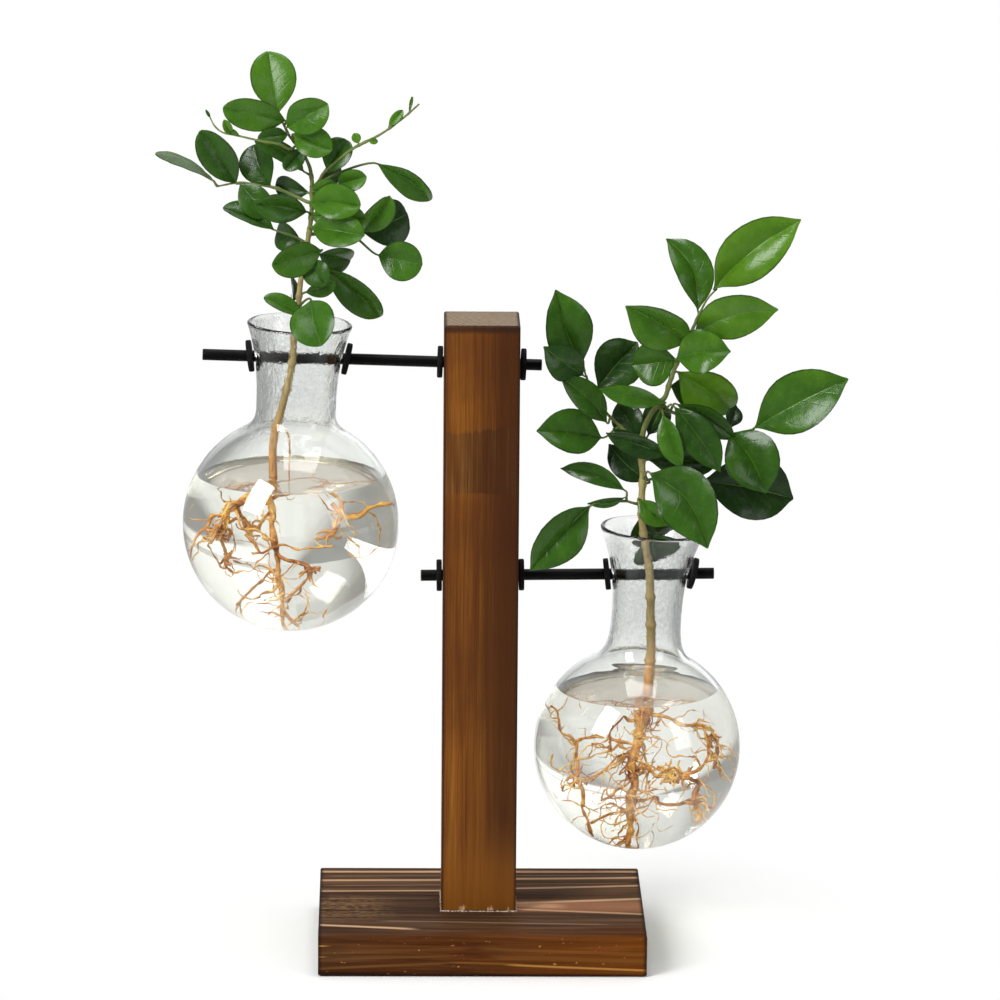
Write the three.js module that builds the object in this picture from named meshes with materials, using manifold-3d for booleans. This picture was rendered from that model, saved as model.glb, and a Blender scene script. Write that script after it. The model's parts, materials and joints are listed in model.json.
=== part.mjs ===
// Hydroponic vase: two glass flasks with rooted cuttings, hung on rods that pass through a wooden post.
// Millimetres, +Z up. The origin is the centre of the base board's underside and X runs along the rods.
import * as THREE from 'three';
import { mergeVertices } from 'three/addons/utils/BufferGeometryUtils.js';
import Module from 'manifold-3d';

const wasm = await Module();
wasm.setup();

// Stand
const BASE_WIDTH = 121.4;
const BASE_DEPTH = 89.6;
const BASE_THICKNESS = 15.4;
const POST_SIDE = 27.8;
const POST_OFFSET_X = -1.1;
const POST_OFFSET_Y = 0.9;
const POST_ABOVE_UPPER_ROD = 16.7;
const WOOD_EDGE = 0.6;

// Rods: slope is positive where the right end is the lower one
const ROD_RADIUS = 2.1;
const ROD_END_CHAMFER = 0.4;
const ROD_SPACING = 80.3;
const STUB_PAST_WASHER = 6;
const UPPER_ROD_SLOPE = 1.6;
const LOWER_ROD_SLOPE = -0.6;
const UPPER_ROD_PAST_NECK = 35.3;
const LOWER_ROD_PAST_NECK = 24;

// Rubber washers
const WASHER_RADIUS = 5.9;
const WASHER_THICKNESS = 2;
const WASHER_EDGE = 0.4;

// Flasks: heights are measured from the centre of the bulb, leans are positive towards +X
const GLASS_WALL = 1.6;
const LIP_ROUND = 0.45;
const SHOULDER_EASE = 0.25;
const WAIST_EASE = 0.37;
const UPPER_FLASK = {
  bulb: 40,
  shoulder: 60,
  shoulderLength: 4,
  waist: 14.7,
  waistHeight: 43,
  rodHeight: 62.7,
  rim: 19.3,
  rimHeight: 74.7,
  rimFlare: 20,
  rimPull: 11,
  lean: 2.5,
  waterLevel: 18,
  gapToPost: 16.4,
};
const LOWER_FLASK = {
  bulb: 38.5,
  shoulder: 62,
  shoulderLength: 3.6,
  waist: 13,
  waistHeight: 50,
  rodHeight: 66.4,
  rim: 19.3,
  rimHeight: 83.1,
  rimFlare: 22,
  rimPull: 14,
  lean: 3.3,
  waterLevel: 22,
  gapToPost: 6.6,
};
const LOWER_BULB_ABOVE_BASE = 21.9;
const NECK_HOLE_RADIUS = 3;

// Screws that hold the post from beneath
const SCREW_RADIUS = 2;
const SCREW_HEAD_RADIUS = 4;
const SCREW_HEAD_HEIGHT = 2.6;
const SCREW_HEAD_EDGE = 0.5;
const SCREW_LENGTH = 40;
const SCREW_SPACING = 15;
const SCREW_SINK = 0.8;
const SLOT_WIDTH = 0.9;
const SLOT_DEPTH = 1.2;

// Fits
const GAP = 0.3;
const CROWN_GAP = 0.5;

// Plants: sections of stems, roots and leaves
const LEAF_THICKNESS = 0.8;
const STALK_RADIUS = 0.6;
const LEAF_FOLD = 0.18;
const POCKET = 0.01;
const LAST_NODE_SHARE = 0.99;
const BLADE_STATIONS = [0.2, 0.52, 0.84, 1];
const UPPER_LEAF = { widest: 0.58, roundness: 0.62 };
const LOWER_LEAF = { widest: 0.5, roundness: 0.74 };
const UPPER_STEM = { foot: 1.6, top: 1 };
const LOWER_STEM = { foot: 2, top: 1.2 };
const TWIG = { foot: 0.9, top: 0.55 };

// How round each thing is made
const BULB_FACETS = 24;
const BULB_STEPS = 9;
const SHOULDER_STEPS = 3;
const NECK_STEPS = 5;
const NECK_SAMPLES = 40;
const HALVINGS = 30;
const ROD_FACETS = 14;
const HOLE_FACETS = 12;
const STEM_FACETS = 6;
const ROOT_FACETS = 4;
const STEM_STEP = 8;
const ROOT_STEP = 6;

// Stems: the points in the bulb start from its centre, the points above start from the rod in the neck.
// Each is bare up to a share of its length, and the leader above that bears the leaves
const UPPER_STEM_IN_BULB = [[-6.5, -1, 15], [-6.4, -2, 31], [-4.4, -3, 40], [-2.8, -3.8, 46]];
const UPPER_STEM_X_AT_ROD = -2;
const UPPER_STEM_BARE_SHARE = 0.57;
const UPPER_STEM_ABOVE = [
  [-1.5, -4.4, 9], [0, -3.5, 20], [1, -3, 30], [2.5, -2, 39], [4.2, -1, 48], [5, 0, 57], [5, 0, 64],
];
const LOWER_STEM_IN_BULB = [[3.4, -1, 14], [4.2, -2, 30], [4.6, -3, 40], [4.2, -3.8, 54]];
const LOWER_STEM_X_AT_ROD = 0;
const LOWER_STEM_BARE_SHARE = 0.53;
const LOWER_STEM_ABOVE = [
  [-1, -4.4, 8], [-2.5, -4, 16], [-3.5, -3, 26], [-3, -2, 36], [-3.5, -1, 46], [-3, 0, 54], [0, 0, 61],
  [4, 0, 66],
];

// Leaves, from the rod in the neck: place along the twig from 0 to 1, blade's foot, blade's tip, width,
// roll about the midrib in degrees, arch towards the viewer, and sideways bow of the midrib
const UPPER_LEADER_LEAVES = [
  [0.6, [2.5, -12, 20.5], [10, -27, 5.5], 15, 8, 2, 0],
  [0.59, [-2.5, -5, 18], [-12, -9, 22], 8, 66, 1, 0],
  [0.61, [-2, -1, 21], [-2.5, 7, 29.5], 6, 75, 0, 0],
  [0.64, [3.5, -5, 23.5], [13.5, -12, 27], 5.5, 30, 1, 0.5],
  [0.72, [8, -1, 34], [30, 8, 13.5], 11, 0, 1, 3.5],
  [0.74, [1.5, -7.5, 38.5], [-9, -17, 36.5], 13, 10, 1, 0],
  [0.72, [4, -6, 36.5], [10, -13, 30], 10, 0, 1, 0],
  [0.77, [8.5, -4, 39], [19, 6, 36], 10, 0, 1, 0],
  [0.81, [1, 0, 43], [-8, 9, 47], 9, 0, 1, 1.5],
  [0.81, [-9, 1, 48], [-27, 5, 56], 7, 30, 1, 0],
  [0.86, [6.5, -5, 47], [22, -15, 46.5], 10.5, 0, 1, 0],
  [0.9, [7, -3, 51.5], [24.5, -12, 51.5], 9, 0, 1, 0],
  [0.94, [6.5, -5, 56], [20.5, -13, 57.5], 10.5, 0, 1, 0],
  [0.9, [2, -3, 54], [-15.5, -11, 57.5], 9, 0, 1, 0.5],
  [0.97, [3, 5, 62.5], [-7.5, 14, 65], 7, 0, 1, 0],
];
const UPPER_LEFT_SHOOT = {
  from: 0.945,
  twig: [[-3, 4, 60.3], [-9, 5, 62.5], [-16, 6, 63.5], [-22, 6, 64], [-30, 4, 63]],
  leaves: [
    [0.38, [-9.6, 5.5, 65], [-15.5, 11, 78.5], 13, 0, 1, -1],
    [0.76, [-22, 6, 66.5], [-35, 0, 84], 11.5, 0, 1, 1.5],
    [1, [-31.5, 3, 66], [-52.5, -6, 75.5], 8, 52, 1, 2],
    [0.72, [-20.5, 6, 63], [-11.5, 2, 53], 9.5, 0, 1, 0],
  ],
};
const UPPER_RIGHT_SHOOT = {
  from: 0.844,
  twig: [[12, 4, 46], [18, 5, 45.6], [24, 4, 45]],
  leaves: [
    [1, [24.5, 1, 46.5], [33, -5, 59.5], 8.5, 0, 1, 0],
    [0.9, [25, 7, 45.5], [40, 15, 50], 16, 0, 1, 0],
    [0.75, [29.5, 1, 38.2], [45, -4, 35.5], 14, 0, 1, 0],
  ],
};
const UPPER_YOUNG_SHOOT = {
  from: 0.98,
  twig: [
    [9, -3, 69], [14, -5, 74], [20, -6, 79], [30, -7, 84.5], [38, -8, 90.5], [44, -9, 96],
  ],
  leaves: [
    [0.22, [12.5, -4, 72.5], [18, -1, 81], 9.5, 0, 1, 0],
    [0.5, [22, -6.5, 81], [20.5, -6, 84.5], 3.5, 0, 0, 0],
    [0.55, [25.5, -7, 82.2], [29, -7, 81.8], 2.4, 0, 0, 0],
    [0.74, [33, -7.5, 87.5], [38, -8, 93.5], 3.6, 0, 0, 0],
    [0.9, [40.5, -8.5, 93.5], [41.5, -8, 98.5], 1.2, 0, 0, 0],
    [0.1, [30, -1, 72], [47.5, 6, 58.5], 10.5, 0, 1, 4],
    [0.07, [15.5, -4, 63.8], [24.5, -8, 66.5], 6.5, 0, 1, 0],
    [0.1, [9.5, 1, 67.5], [15.5, 7, 70], 5.5, 0, 1, 0],
  ],
};
const UPPER_TOP_SHOOT = {
  from: 1,
  twig: [[4, 1.5, 71], [1, 1.5, 77], [-3, 0.5, 82], [-5, 0, 86], [-7, -0.5, 90]],
  leaves: [
    [1, [-7.3, -1, 91], [-11.5, -5, 113], 17, 0, 1, -0.5],
    [0.86, [-8, -3, 87.5], [-27.5, -12, 91.5], 10.5, 0, 1, 0],
    [0.8, [-3, -4, 86], [11, -12, 92.5], 11.5, 0, 1, 0],
    [0.62, [0, -2, 82], [13, -9, 78], 9.5, 0, 1, 0],
    [0.12, [2, 2, 69], [-15.5, 1, 80.5], 7.5, 0, 1, 2.5],
    [0.66, [-27.5, 1, 83.8], [-33, 1, 90], 1.2, 0, 0, 0],
    [0.75, [-4, -3, 83.5], [-14.5, -8, 83], 5, 0, 1, 0],
  ],
};
const LOWER_LEADER_LEAVES = [
  [0.73, [0.5, -8, 37.5], [22, -27, 10], 20, 0, 2, 2],
  [0.73, [16, 5, 36], [53, 14, 29.5], 21, 0, 2, -2],
  [0.72, [-2.5, 1, 38], [-15.5, 8, 49.5], 9, 0, 1, -1],
  [0.63, [-1, 0, 25], [3.5, 9, 11], 20, 0, 1, 0],
  [0.57, [0, -1.5, 15], [3.5, 1.5, 5], 16, 0, 0.5, 0],
  [0.67, [-3, -7, 29.5], [7.5, -9, 24.5], 6, 0, 1, 0],
  [0.79, [-0.5, -1, 43], [26, 2, 43], 11, 0, 1, 0],
  [0.84, [-4, 3, 50.5], [-11.5, 10, 61.5], 9, 0, 1, 0],
  [0.85, [-1, 3, 52], [5, 10, 62], 7.5, 0, 1, 0],
  [0.86, [-4, -3, 52], [-14.5, -7, 56.5], 5, 0, 1, 0],
  [0.98, [2.5, -4, 64.5], [-18, -11, 70], 6.5, 15, 1, -1],
];
const LOWER_FOOT_SHOOT = {
  from: 0.662,
  twig: [[-7.5, -4.5, 28.2], [-9.5, -5, 29]],
  leaves: [
    [0.9, [-10, -4, 33], [-33, 2, 40], 8.5, 20, 1, -4],
    [0.9, [-23, -10, 27.5], [-44, -18, 3.5], 16, 0, 2, 2],
  ],
};
const LOWER_LEFT_SHOOT = {
  from: 0.855,
  twig: [[-11, 3, 55], [-17, 3, 61], [-22, 3, 69], [-25, 2, 76.5]],
  leaves: [
    [1, [-25, 2, 79], [-35.5, -4, 107], 19, 0, 2, 0],
    [0.93, [-26.5, -1, 77], [-40, -8, 86], 10, 0, 1, 0],
    [0.42, [-17, -1, 58.5], [-34, -8, 76], 10, 0, 1, 1.5],
    [0.28, [-19, 0, 52.5], [-42, -7, 54.5], 15.5, 0, 1.5, 0],
    [0.6, [-17.5, 6, 70.5], [-6.5, 15, 87.5], 14, 0, 1, 0],
  ],
};
const LOWER_RIGHT_SHOOT = {
  from: 0.98,
  twig: [[12, -2, 60], [20, -1, 55], [27, 0, 52.5], [33, 0, 54], [38, -1, 55.4]],
  leaves: [
    [1, [39.5, -1.5, 56.3], [72, -10, 74.5], 19, 0, 2, 1],
    [0.74, [29.5, -4, 51.5], [42, -13, 32.5], 18, 0, 2, -2],
    [0.12, [10, -5, 64.5], [31, -5, 52], 8, 0, 1, -1.5],
    [0.06, [9, -7, 62], [25, -14, 41.5], 11.5, 0, 1, -1],
    [0.04, [4.5, -7, 61.5], [11, -13, 40], 8, 0, 1, 0],
    [0.78, [30.2, 2.5, 56], [31.5, 5, 62], 4.5, 0, 0, 0],
  ],
};
const LOWER_TOP_SHOOT = {
  from: 1,
  twig: [[7, 0, 74], [10, 0, 82], [13, 0, 89], [17, 0, 98], [20, 0, 104], [23.5, 0, 108]],
  leaves: [
    [1, [25, -1, 109.5], [54, -9, 133], 18, 0, 2, -1],
    [0.74, [17, 2, 102], [5.5, 10, 126.5], 14, 0, 2, -2.5],
    [0.7, [19, -3, 96], [45.5, -13, 101], 15, 0, 2, -1.5],
    [0.54, [12, -3, 89.5], [-9.5, -11, 101.5], 16, 0, 2, 0],
    [0.42, [8, 1.5, 80], [-7, 4, 79], 14.5, 0, 1, 0],
    [0.32, [10.5, -5, 78.5], [28.5, -13, 82], 14, 0, 2, 0],
    [0.2, [14, 2.5, 75], [30, 10, 59], 14, 0, 1, -1],
    [0.12, [8.5, 3, 70], [22, 8, 68], 11, 0, 1, 0],
  ],
};

// Roots, from the centre of the bulb: radius at the start, radius at the end, points. The first one
// grows down from the stem's foot
const ROOTS_GROWN_IN = { upper: 38.4, lower: 36.9 };
const UPPER_ROOTS = [
  [1.3, 0.6, [[-6, -1, 8], [-5, -2, 0], [-3.5, -2, -12], [-2.5, -1, -22], [-1.5, 0, -31]]],
  [0.8, 0.5, [[-6.3, -1, 11], [-12, -3, 10], [-18, -4, 4], [-20, -3, -2], [-18, -2, -10], [-16, -1, -14]]],
  [0.7, 0.5, [[-18.6, -4, 3], [-22, -5, 0], [-24, -6, -5]]],
  [0.8, 0.5, [[-6.2, -1, 9], [-11, 4, 6], [-14, 5, 0], [-13, 4, -5], [-6, -4, -7], [6, -4, -6], [9, -2, -5]]],
  [0.7, 0.5, [[-6, -1.2, 7], [3, 4, 8.5], [10, 6, 6], [13, 6, 1], [10.5, 5, -5.5]]],
  [0.8, 0.6, [[-4, -2, -8], [1.5, -4, -10.5], [5, -5, -11], [5.5, -5, -15]]],
  [0.6, 0.5, [[-3.4, -2, -13], [-9, 3, -17], [-14, 6, -23]]],
];
const LOWER_ROOTS = [
  [1.9, 0.8, [[1.2, -1, 6], [-1, -2, -1.5], [-1, -2, -8], [-1.5, -2, -16], [-2, -1, -23], [-2, 0, -30]]],
  [0.7, 0.5, [[2.6, -1, 10], [9, -3, 9], [16, -2, 7.5], [21, 0, 5.5], [22, 2, -1], [21, 2, -8]]],
  [1.1, 0.6, [[-1, -2, -6], [4, -4, -6.5], [9, -5, -7.5], [15, -5, -8], [17.5, -4, -13], [18, -3, -20]]],
  [0.7, 0.5, [[-1.5, -2, -15], [8, 2, -16], [16, 3, -17.5], [21, 3, -19]]],
  [0.7, 0.5, [[1.6, -1, 8], [-6, -5, 9], [-9, -6, 4], [-8, -6, 0]]],
  [1, 0.6, [[-0.5, -2, 1], [-10, 3, 3], [-18, 2, 0], [-17.5, -1, -9], [-15.5, -2, -18], [-12, -1, -26]]],
  [0.7, 0.5, [[-17, 2.2, 0.8], [-21, 1, 4], [-27, 1, 12]]],
  [0.6, 0.5, [[-1.2, -2, -9], [-7, -7, -12.5], [-11, -9, -14.5]]],
  [0.6, 0.5, [[-1.6, -2, -18], [-7, 4, -19], [-11, 7, -22]]],
];

const MATERIALS = {
  baseWood: new THREE.MeshStandardMaterial({ color: 0x3a2115, roughness: 0.55 }),
  postWood: new THREE.MeshStandardMaterial({ color: 0x5b2f17, roughness: 0.55 }),
  blackSteel: new THREE.MeshStandardMaterial({ color: 0x0d0c0c, roughness: 0.4, metalness: 0.8 }),
  rubber: new THREE.MeshStandardMaterial({ color: 0x0b0b0b, roughness: 0.8 }),
  screwSteel: new THREE.MeshStandardMaterial({ color: 0x9a9a96, roughness: 0.4, metalness: 1 }),
  glass: new THREE.MeshStandardMaterial({
    color: 0xe4ece8, roughness: 0.03, transparent: true, opacity: 0.35,
  }),
  water: new THREE.MeshStandardMaterial({
    color: 0xdfe8e2, roughness: 0.02, transparent: true, opacity: 0.4,
  }),
  stem: new THREE.MeshStandardMaterial({ color: 0x8a6a3c, roughness: 0.6 }),
  upperLeaf: new THREE.MeshStandardMaterial({ color: 0x2f6a1e, roughness: 0.4 }),
  lowerLeaf: new THREE.MeshStandardMaterial({ color: 0x285a1e, roughness: 0.3 }),
  root: new THREE.MeshStandardMaterial({ color: 0xa2682c, roughness: 0.7 }),
};

const radians = THREE.MathUtils.degToRad;
const lerp = THREE.MathUtils.lerp;
const vector = (point) => new THREE.Vector3(...point);

// Solids

function solid(geometry) {
  const bare = geometry.clone();
  bare.deleteAttribute('normal');
  bare.deleteAttribute('uv');
  const merged = mergeVertices(bare);
  return new wasm.Manifold(new wasm.Mesh({
    numProp: 3,
    vertProperties: new Float32Array(merged.attributes.position.array),
    triVerts: new Uint32Array(merged.index.array),
  }));
}

function surface(body) {
  const mesh = body.getMesh();
  const geometry = new THREE.BufferGeometry();
  geometry.setAttribute('position', new THREE.BufferAttribute(mesh.vertProperties, 3));
  geometry.setIndex(new THREE.BufferAttribute(mesh.triVerts, 1));
  geometry.computeVertexNormals();
  return geometry;
}

function piece(name, geometry, material) {
  const mesh = new THREE.Mesh(geometry, material);
  mesh.name = name;
  return mesh;
}

// A lathe turned about Z from [radius, height] pairs
function turned(profile, facets) {
  const points = profile.map(([radius, height]) => new THREE.Vector2(radius, height));
  const geometry = new THREE.LatheGeometry(points, facets);
  geometry.rotateX(Math.PI / 2);
  return geometry;
}

// A round bar along Z whose corners lie on its radius, or a cutter whose flats do
function bar(radius, length, facets) {
  const geometry = new THREE.CylinderGeometry(radius, radius, length, facets);
  geometry.rotateX(Math.PI / 2);
  return geometry;
}

function cutter(radius, length, facets) {
  return bar(radius / Math.cos(Math.PI / facets), length, facets);
}

// A block with eased edges that stands on z = 0
function easedBlock(width, depth, height, edge) {
  const x = width / 2 - edge;
  const y = depth / 2 - edge;
  const outline = new THREE.Shape([
    new THREE.Vector2(-x, -y), new THREE.Vector2(x, -y), new THREE.Vector2(x, y), new THREE.Vector2(-x, y),
  ]);
  const geometry = new THREE.ExtrudeGeometry(outline, {
    depth: height - 2 * edge,
    bevelEnabled: true,
    bevelThickness: edge,
    bevelSize: edge,
    bevelSegments: 1,
  });
  geometry.translate(0, 0, edge);
  return geometry;
}

// A closed skin drawn through stations: each gives a centre, the two half axes of its section and the
// lift of its edges
function swept(sides, steps, station) {
  const geometry = new THREE.CylinderGeometry(1, 1, 1, sides, steps);
  const position = geometry.attributes.position;
  for (let i = 0; i < position.count; i += 1) {
    const { centre, across, over, lift } = station(Math.round((position.getY(i) + 0.5) * steps));
    const x = position.getX(i);
    const point = centre.clone().addScaledVector(across, x).addScaledVector(over, position.getZ(i));
    point.addScaledVector(lift, x * x);
    position.setXYZ(i, point.x, point.y, point.z);
  }
  return geometry;
}

// A tapering stem or root along a curve, or a stretch of it between two shares of its length. With spare
// it is fatter and longer by that much all round, and trim is cut from its far end
function stalk(points, startRadius, endRadius, sides, spacing, options = {}) {
  const { spare = 0, trim = 0, from = 0, to = 1 } = options;
  const curve = new THREE.CatmullRomCurve3(points);
  const steps = Math.max(2, Math.round(curve.getLength() / spacing));
  const frames = curve.computeFrenetFrames(steps);
  const first = Math.round(from * steps);
  const last = Math.round(to * steps);
  const geometry = swept(sides, last - first, (row) => {
    const at = first + row;
    const radius = lerp(startRadius, endRadius, at / steps) + spare;
    const beyond = (at === first ? -spare : 0) + (at === last ? spare - trim : 0);
    return {
      centre: curve.getPointAt(at / steps).addScaledVector(frames.tangents[at], beyond),
      across: frames.binormals[at].clone().multiplyScalar(radius),
      over: frames.normals[at].clone().multiplyScalar(radius),
      lift: new THREE.Vector3(),
    };
  });
  return { curve, geometry };
}

// Plants

// Share of a blade's width at a place from its foot, 0, to its tip, 1
function bladeWidth(place, form) {
  const stretched = place ** (Math.log(0.5) / Math.log(form.widest));
  return Math.sin(Math.PI * Math.min(stretched, 1)) ** form.roundness;
}

// The axes of a leaf's section, square to its run, with its face turned from the viewer by roll
function sectionAxes(run, roll) {
  const along = run.clone().normalize();
  const face = new THREE.Vector3(0, -1, 0).projectOnPlane(along).normalize();
  face.applyAxisAngle(along, radians(roll));
  return { side: along.clone().cross(face), face };
}

// A leaf grows from a point on its twig: a stalk up to the blade's foot, then the blade
function leaf(from, row, form) {
  const [, foot, tip, width, roll, arch, bow] = row;
  const base = vector(foot);
  const midrib = vector(tip).sub(base);
  const stalkRun = base.clone().sub(from).normalize();
  const turning = stalkRun.clone().add(midrib.clone().normalize());
  const blade = sectionAxes(midrib, roll);
  const stalkAxes = [sectionAxes(stalkRun, 0), sectionAxes(turning, roll / 2)];
  return swept(4, BLADE_STATIONS.length + 1, (index) => {
    if (index < 2) {
      const { side, face } = stalkAxes[index];
      return {
        centre: index === 0 ? from : base,
        across: side.clone().multiplyScalar(STALK_RADIUS),
        over: face.clone().multiplyScalar(STALK_RADIUS),
        lift: new THREE.Vector3(),
      };
    }
    const place = BLADE_STATIONS[index - 2];
    const half = Math.max(bladeWidth(place, form) * width / 2, STALK_RADIUS / 2);
    const centre = base.clone().addScaledVector(midrib, place);
    centre.addScaledVector(blade.face, arch * Math.sin(Math.PI * place));
    centre.addScaledVector(blade.side, bow * Math.sin(Math.PI * place));
    return {
      centre,
      across: blade.side.clone().multiplyScalar(half),
      over: blade.face.clone().multiplyScalar(LEAF_THICKNESS / 2),
      lift: blade.face.clone().multiplyScalar(half * LEAF_FOLD),
    };
  });
}

// Joins leaves to their stem. Where two leaves cross, a pocket too small to fill can be left: it goes
function withLeaves(stem, leaves, form) {
  let body = solid(stem.geometry);
  for (const row of leaves) {
    body = body.add(solid(leaf(stem.curve.getPointAt(Math.min(row[0], LAST_NODE_SHARE)), row, form)));
  }
  const whole = body.decompose().filter((part) => Math.abs(part.volume()) > POCKET);
  return whole.length > 1 ? body : whole[0];
}

// A shoot butts against the leader at its share of the leader's length, square to it, or tops it at 1
function shoot({ from, twig, leaves }, leader, radii, form) {
  const centre = leader.curve.getPointAt(from);
  const along = leader.curve.getTangentAt(from);
  const out = from === 1 ? along : vector(twig[0]).sub(centre).projectOnPlane(along).normalize();
  const reach = from === 1 ? GAP : lerp(radii.foot, radii.top, from) + GAP;
  const foot = centre.addScaledVector(out, reach);
  const square = foot.clone().addScaledVector(out, TWIG.foot);
  const stem = stalk([foot, square, ...twig.map(vector)], TWIG.foot, TWIG.top, ROOT_FACETS, STEM_STEP);
  return surface(withLeaves(stem, leaves, form));
}

// All roots of a plant as one solid, with spare clearance round them where the water is cut for them
function rootBall(plant, scale, spare) {
  let body = null;
  for (const [start, end, points] of plant.roots) {
    const run = points.map((point) => vector(point).multiplyScalar(scale));
    if (body === null) {
      const crown = vector(plant.inBulb[0]);
      run.unshift(crown.clone().setZ(crown.z - CROWN_GAP), crown.clone().setZ(crown.z - 2 * start));
    }
    const root = solid(stalk(run, start, end, ROOT_FACETS, ROOT_STEP, { spare }).geometry);
    body = body ? body.add(root) : root;
  }
  return body;
}

// Flasks

function bezier(...points) {
  return new THREE.CubicBezierCurve(...points.map(([x, y]) => new THREE.Vector2(x, y)));
}

function shoulderCurve(flask) {
  const angle = radians(flask.shoulder);
  const start = [flask.bulb * Math.cos(angle), flask.bulb * Math.sin(angle)];
  const run = flask.shoulderLength;
  const pull = [start[0] - run * Math.sin(angle), start[1] + run * Math.cos(angle)];
  const waist = [flask.waist, flask.waistHeight];
  return bezier(start, pull, [flask.waist, lerp(pull[1], flask.waistHeight, SHOULDER_EASE)], waist);
}

function neckCurve(flask) {
  const flare = radians(flask.rimFlare);
  const rim = [flask.rim, flask.rimHeight];
  const pull = [rim[0] - flask.rimPull * Math.sin(flare), rim[1] - flask.rimPull * Math.cos(flare)];
  const upright = [flask.waist, lerp(flask.waistHeight, flask.rimHeight, WAIST_EASE)];
  return bezier([flask.waist, flask.waistHeight], upright, pull, rim);
}

// The neck's radius and slope at a height, and how far it swells past that slope under a washer
function neckAt(flask, height) {
  const curve = neckCurve(flask);
  let low = 0;
  let high = 1;
  for (let i = 0; i < HALVINGS; i += 1) {
    const middle = (low + high) / 2;
    if (curve.getPoint(middle).y < height) {
      low = middle;
    } else {
      high = middle;
    }
  }
  const radius = curve.getPoint(low).x;
  const tangent = curve.getTangent(low);
  const reach = WASHER_RADIUS + WASHER_THICKNESS;
  const near = curve.getPoints(NECK_SAMPLES).filter((point) => Math.abs(point.y - height) < reach);
  const swells = near.map((point) => point.x - radius - (point.y - height) * tangent.x / tangent.y);
  return { radius, slope: Math.atan2(tangent.x, tangent.y), swell: Math.max(...swells) };
}

function flaskProfile(flask) {
  const top = radians(flask.shoulder);
  const outer = [];
  for (let i = 0; i < BULB_STEPS; i += 1) {
    const angle = lerp(-Math.PI / 2, top, i / BULB_STEPS);
    outer.push(new THREE.Vector2(flask.bulb * Math.cos(angle), flask.bulb * Math.sin(angle)));
  }
  outer.push(...shoulderCurve(flask).getPoints(SHOULDER_STEPS));
  outer.push(...neckCurve(flask).getPoints(NECK_STEPS).slice(1));
  const inner = outer.map((point, i) => {
    const before = outer[Math.max(i - 1, 0)];
    const after = outer[Math.min(i + 1, outer.length - 1)];
    const along = i === 0 ? new THREE.Vector2(1, 0) : after.clone().sub(before).normalize();
    return new THREE.Vector2(point.x - along.y * GLASS_WALL, point.y + along.x * GLASS_WALL);
  });
  const rimOut = outer.at(-1);
  const rimIn = inner.at(-1);
  const lip = rimOut.clone().add(rimIn).multiplyScalar(0.5);
  const up = new THREE.Vector2(rimIn.y - rimOut.y, rimOut.x - rimIn.x).multiplyScalar(LIP_ROUND);
  outer[0].x = 0;
  inner[0].x = 0;
  return [...outer, lip.add(up), ...inner.reverse()].map((point) => [point.x, point.y]);
}

function flaskGeometry(flask, rodTurn) {
  const glass = turned(flaskProfile(flask), BULB_FACETS);
  glass.translate(0, 0, -flask.rodHeight);
  const hole = cutter(NECK_HOLE_RADIUS, 4 * flask.rim, HOLE_FACETS);
  hole.rotateY(Math.PI / 2);
  hole.rotateY(rodTurn);
  hole.translate(0, 0, -(NECK_HOLE_RADIUS - ROD_RADIUS - GAP));
  return surface(solid(glass).subtract(solid(hole)));
}

// Water: a ball that clears the flats inside the glass, cut off level and cut clear of stem and roots
function waterGeometry(flask, stem, roots) {
  const bulbStep = (Math.PI / 2 + radians(flask.shoulder)) / BULB_STEPS;
  const flats = Math.cos(Math.PI / BULB_FACETS) * Math.cos(bulbStep / 2);
  const radius = (flask.bulb - GLASS_WALL) * flats - GAP;
  const top = Math.asin(flask.waterLevel / radius);
  const profile = [];
  for (let i = 0; i <= BULB_STEPS; i += 1) {
    const angle = lerp(-Math.PI / 2, top, i / BULB_STEPS);
    profile.push([i === 0 ? 0 : radius * Math.cos(angle), radius * Math.sin(angle)]);
  }
  profile.push([0, flask.waterLevel]);
  return surface(solid(turned(profile, BULB_FACETS)).subtract(solid(stem)).subtract(roots));
}

// Rods, washers and screws

function rodGeometry(left, right) {
  const inset = ROD_RADIUS - ROD_END_CHAMFER;
  const geometry = turned([
    [0, left], [inset, left], [ROD_RADIUS, left + ROD_END_CHAMFER],
    [ROD_RADIUS, right - ROD_END_CHAMFER], [inset, right], [0, right],
  ], ROD_FACETS);
  geometry.rotateY(Math.PI / 2);
  return geometry;
}

// A washer that is tilted on its rod has the wider bore that this takes
function washerGeometry(tilt) {
  const half = WASHER_THICKNESS / 2;
  const clear = ROD_RADIUS / Math.cos(tilt) + half * Math.tan(tilt) + GAP;
  const bore = clear / Math.cos(Math.PI / ROD_FACETS);
  const geometry = turned([
    [bore, -half], [WASHER_RADIUS - WASHER_EDGE, -half], [WASHER_RADIUS, WASHER_EDGE - half],
    [WASHER_RADIUS, half - WASHER_EDGE], [WASHER_RADIUS - WASHER_EDGE, half], [bore, half], [bore, -half],
  ], ROD_FACETS);
  geometry.rotateY(Math.PI / 2);
  return geometry;
}

function screwProfile(spare) {
  const head = SCREW_HEAD_RADIUS + spare;
  const shank = SCREW_RADIUS + spare;
  return [
    [0, -spare], [head, -spare], [head, SCREW_HEAD_EDGE], [shank, SCREW_HEAD_HEIGHT],
    [shank, SCREW_LENGTH - 2 * SCREW_RADIUS], [0, SCREW_LENGTH + spare],
  ];
}

function screwGeometry() {
  let body = solid(turned(screwProfile(0), HOLE_FACETS));
  for (const turn of [0, Math.PI / 2]) {
    const slot = new THREE.BoxGeometry(SCREW_HEAD_RADIUS, SLOT_WIDTH, 2 * SLOT_DEPTH);
    slot.rotateZ(turn);
    body = body.subtract(solid(slot));
  }
  return surface(body);
}

// Frames: each rod runs through the post's middle, and each flask crosses its rod at the neck

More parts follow.
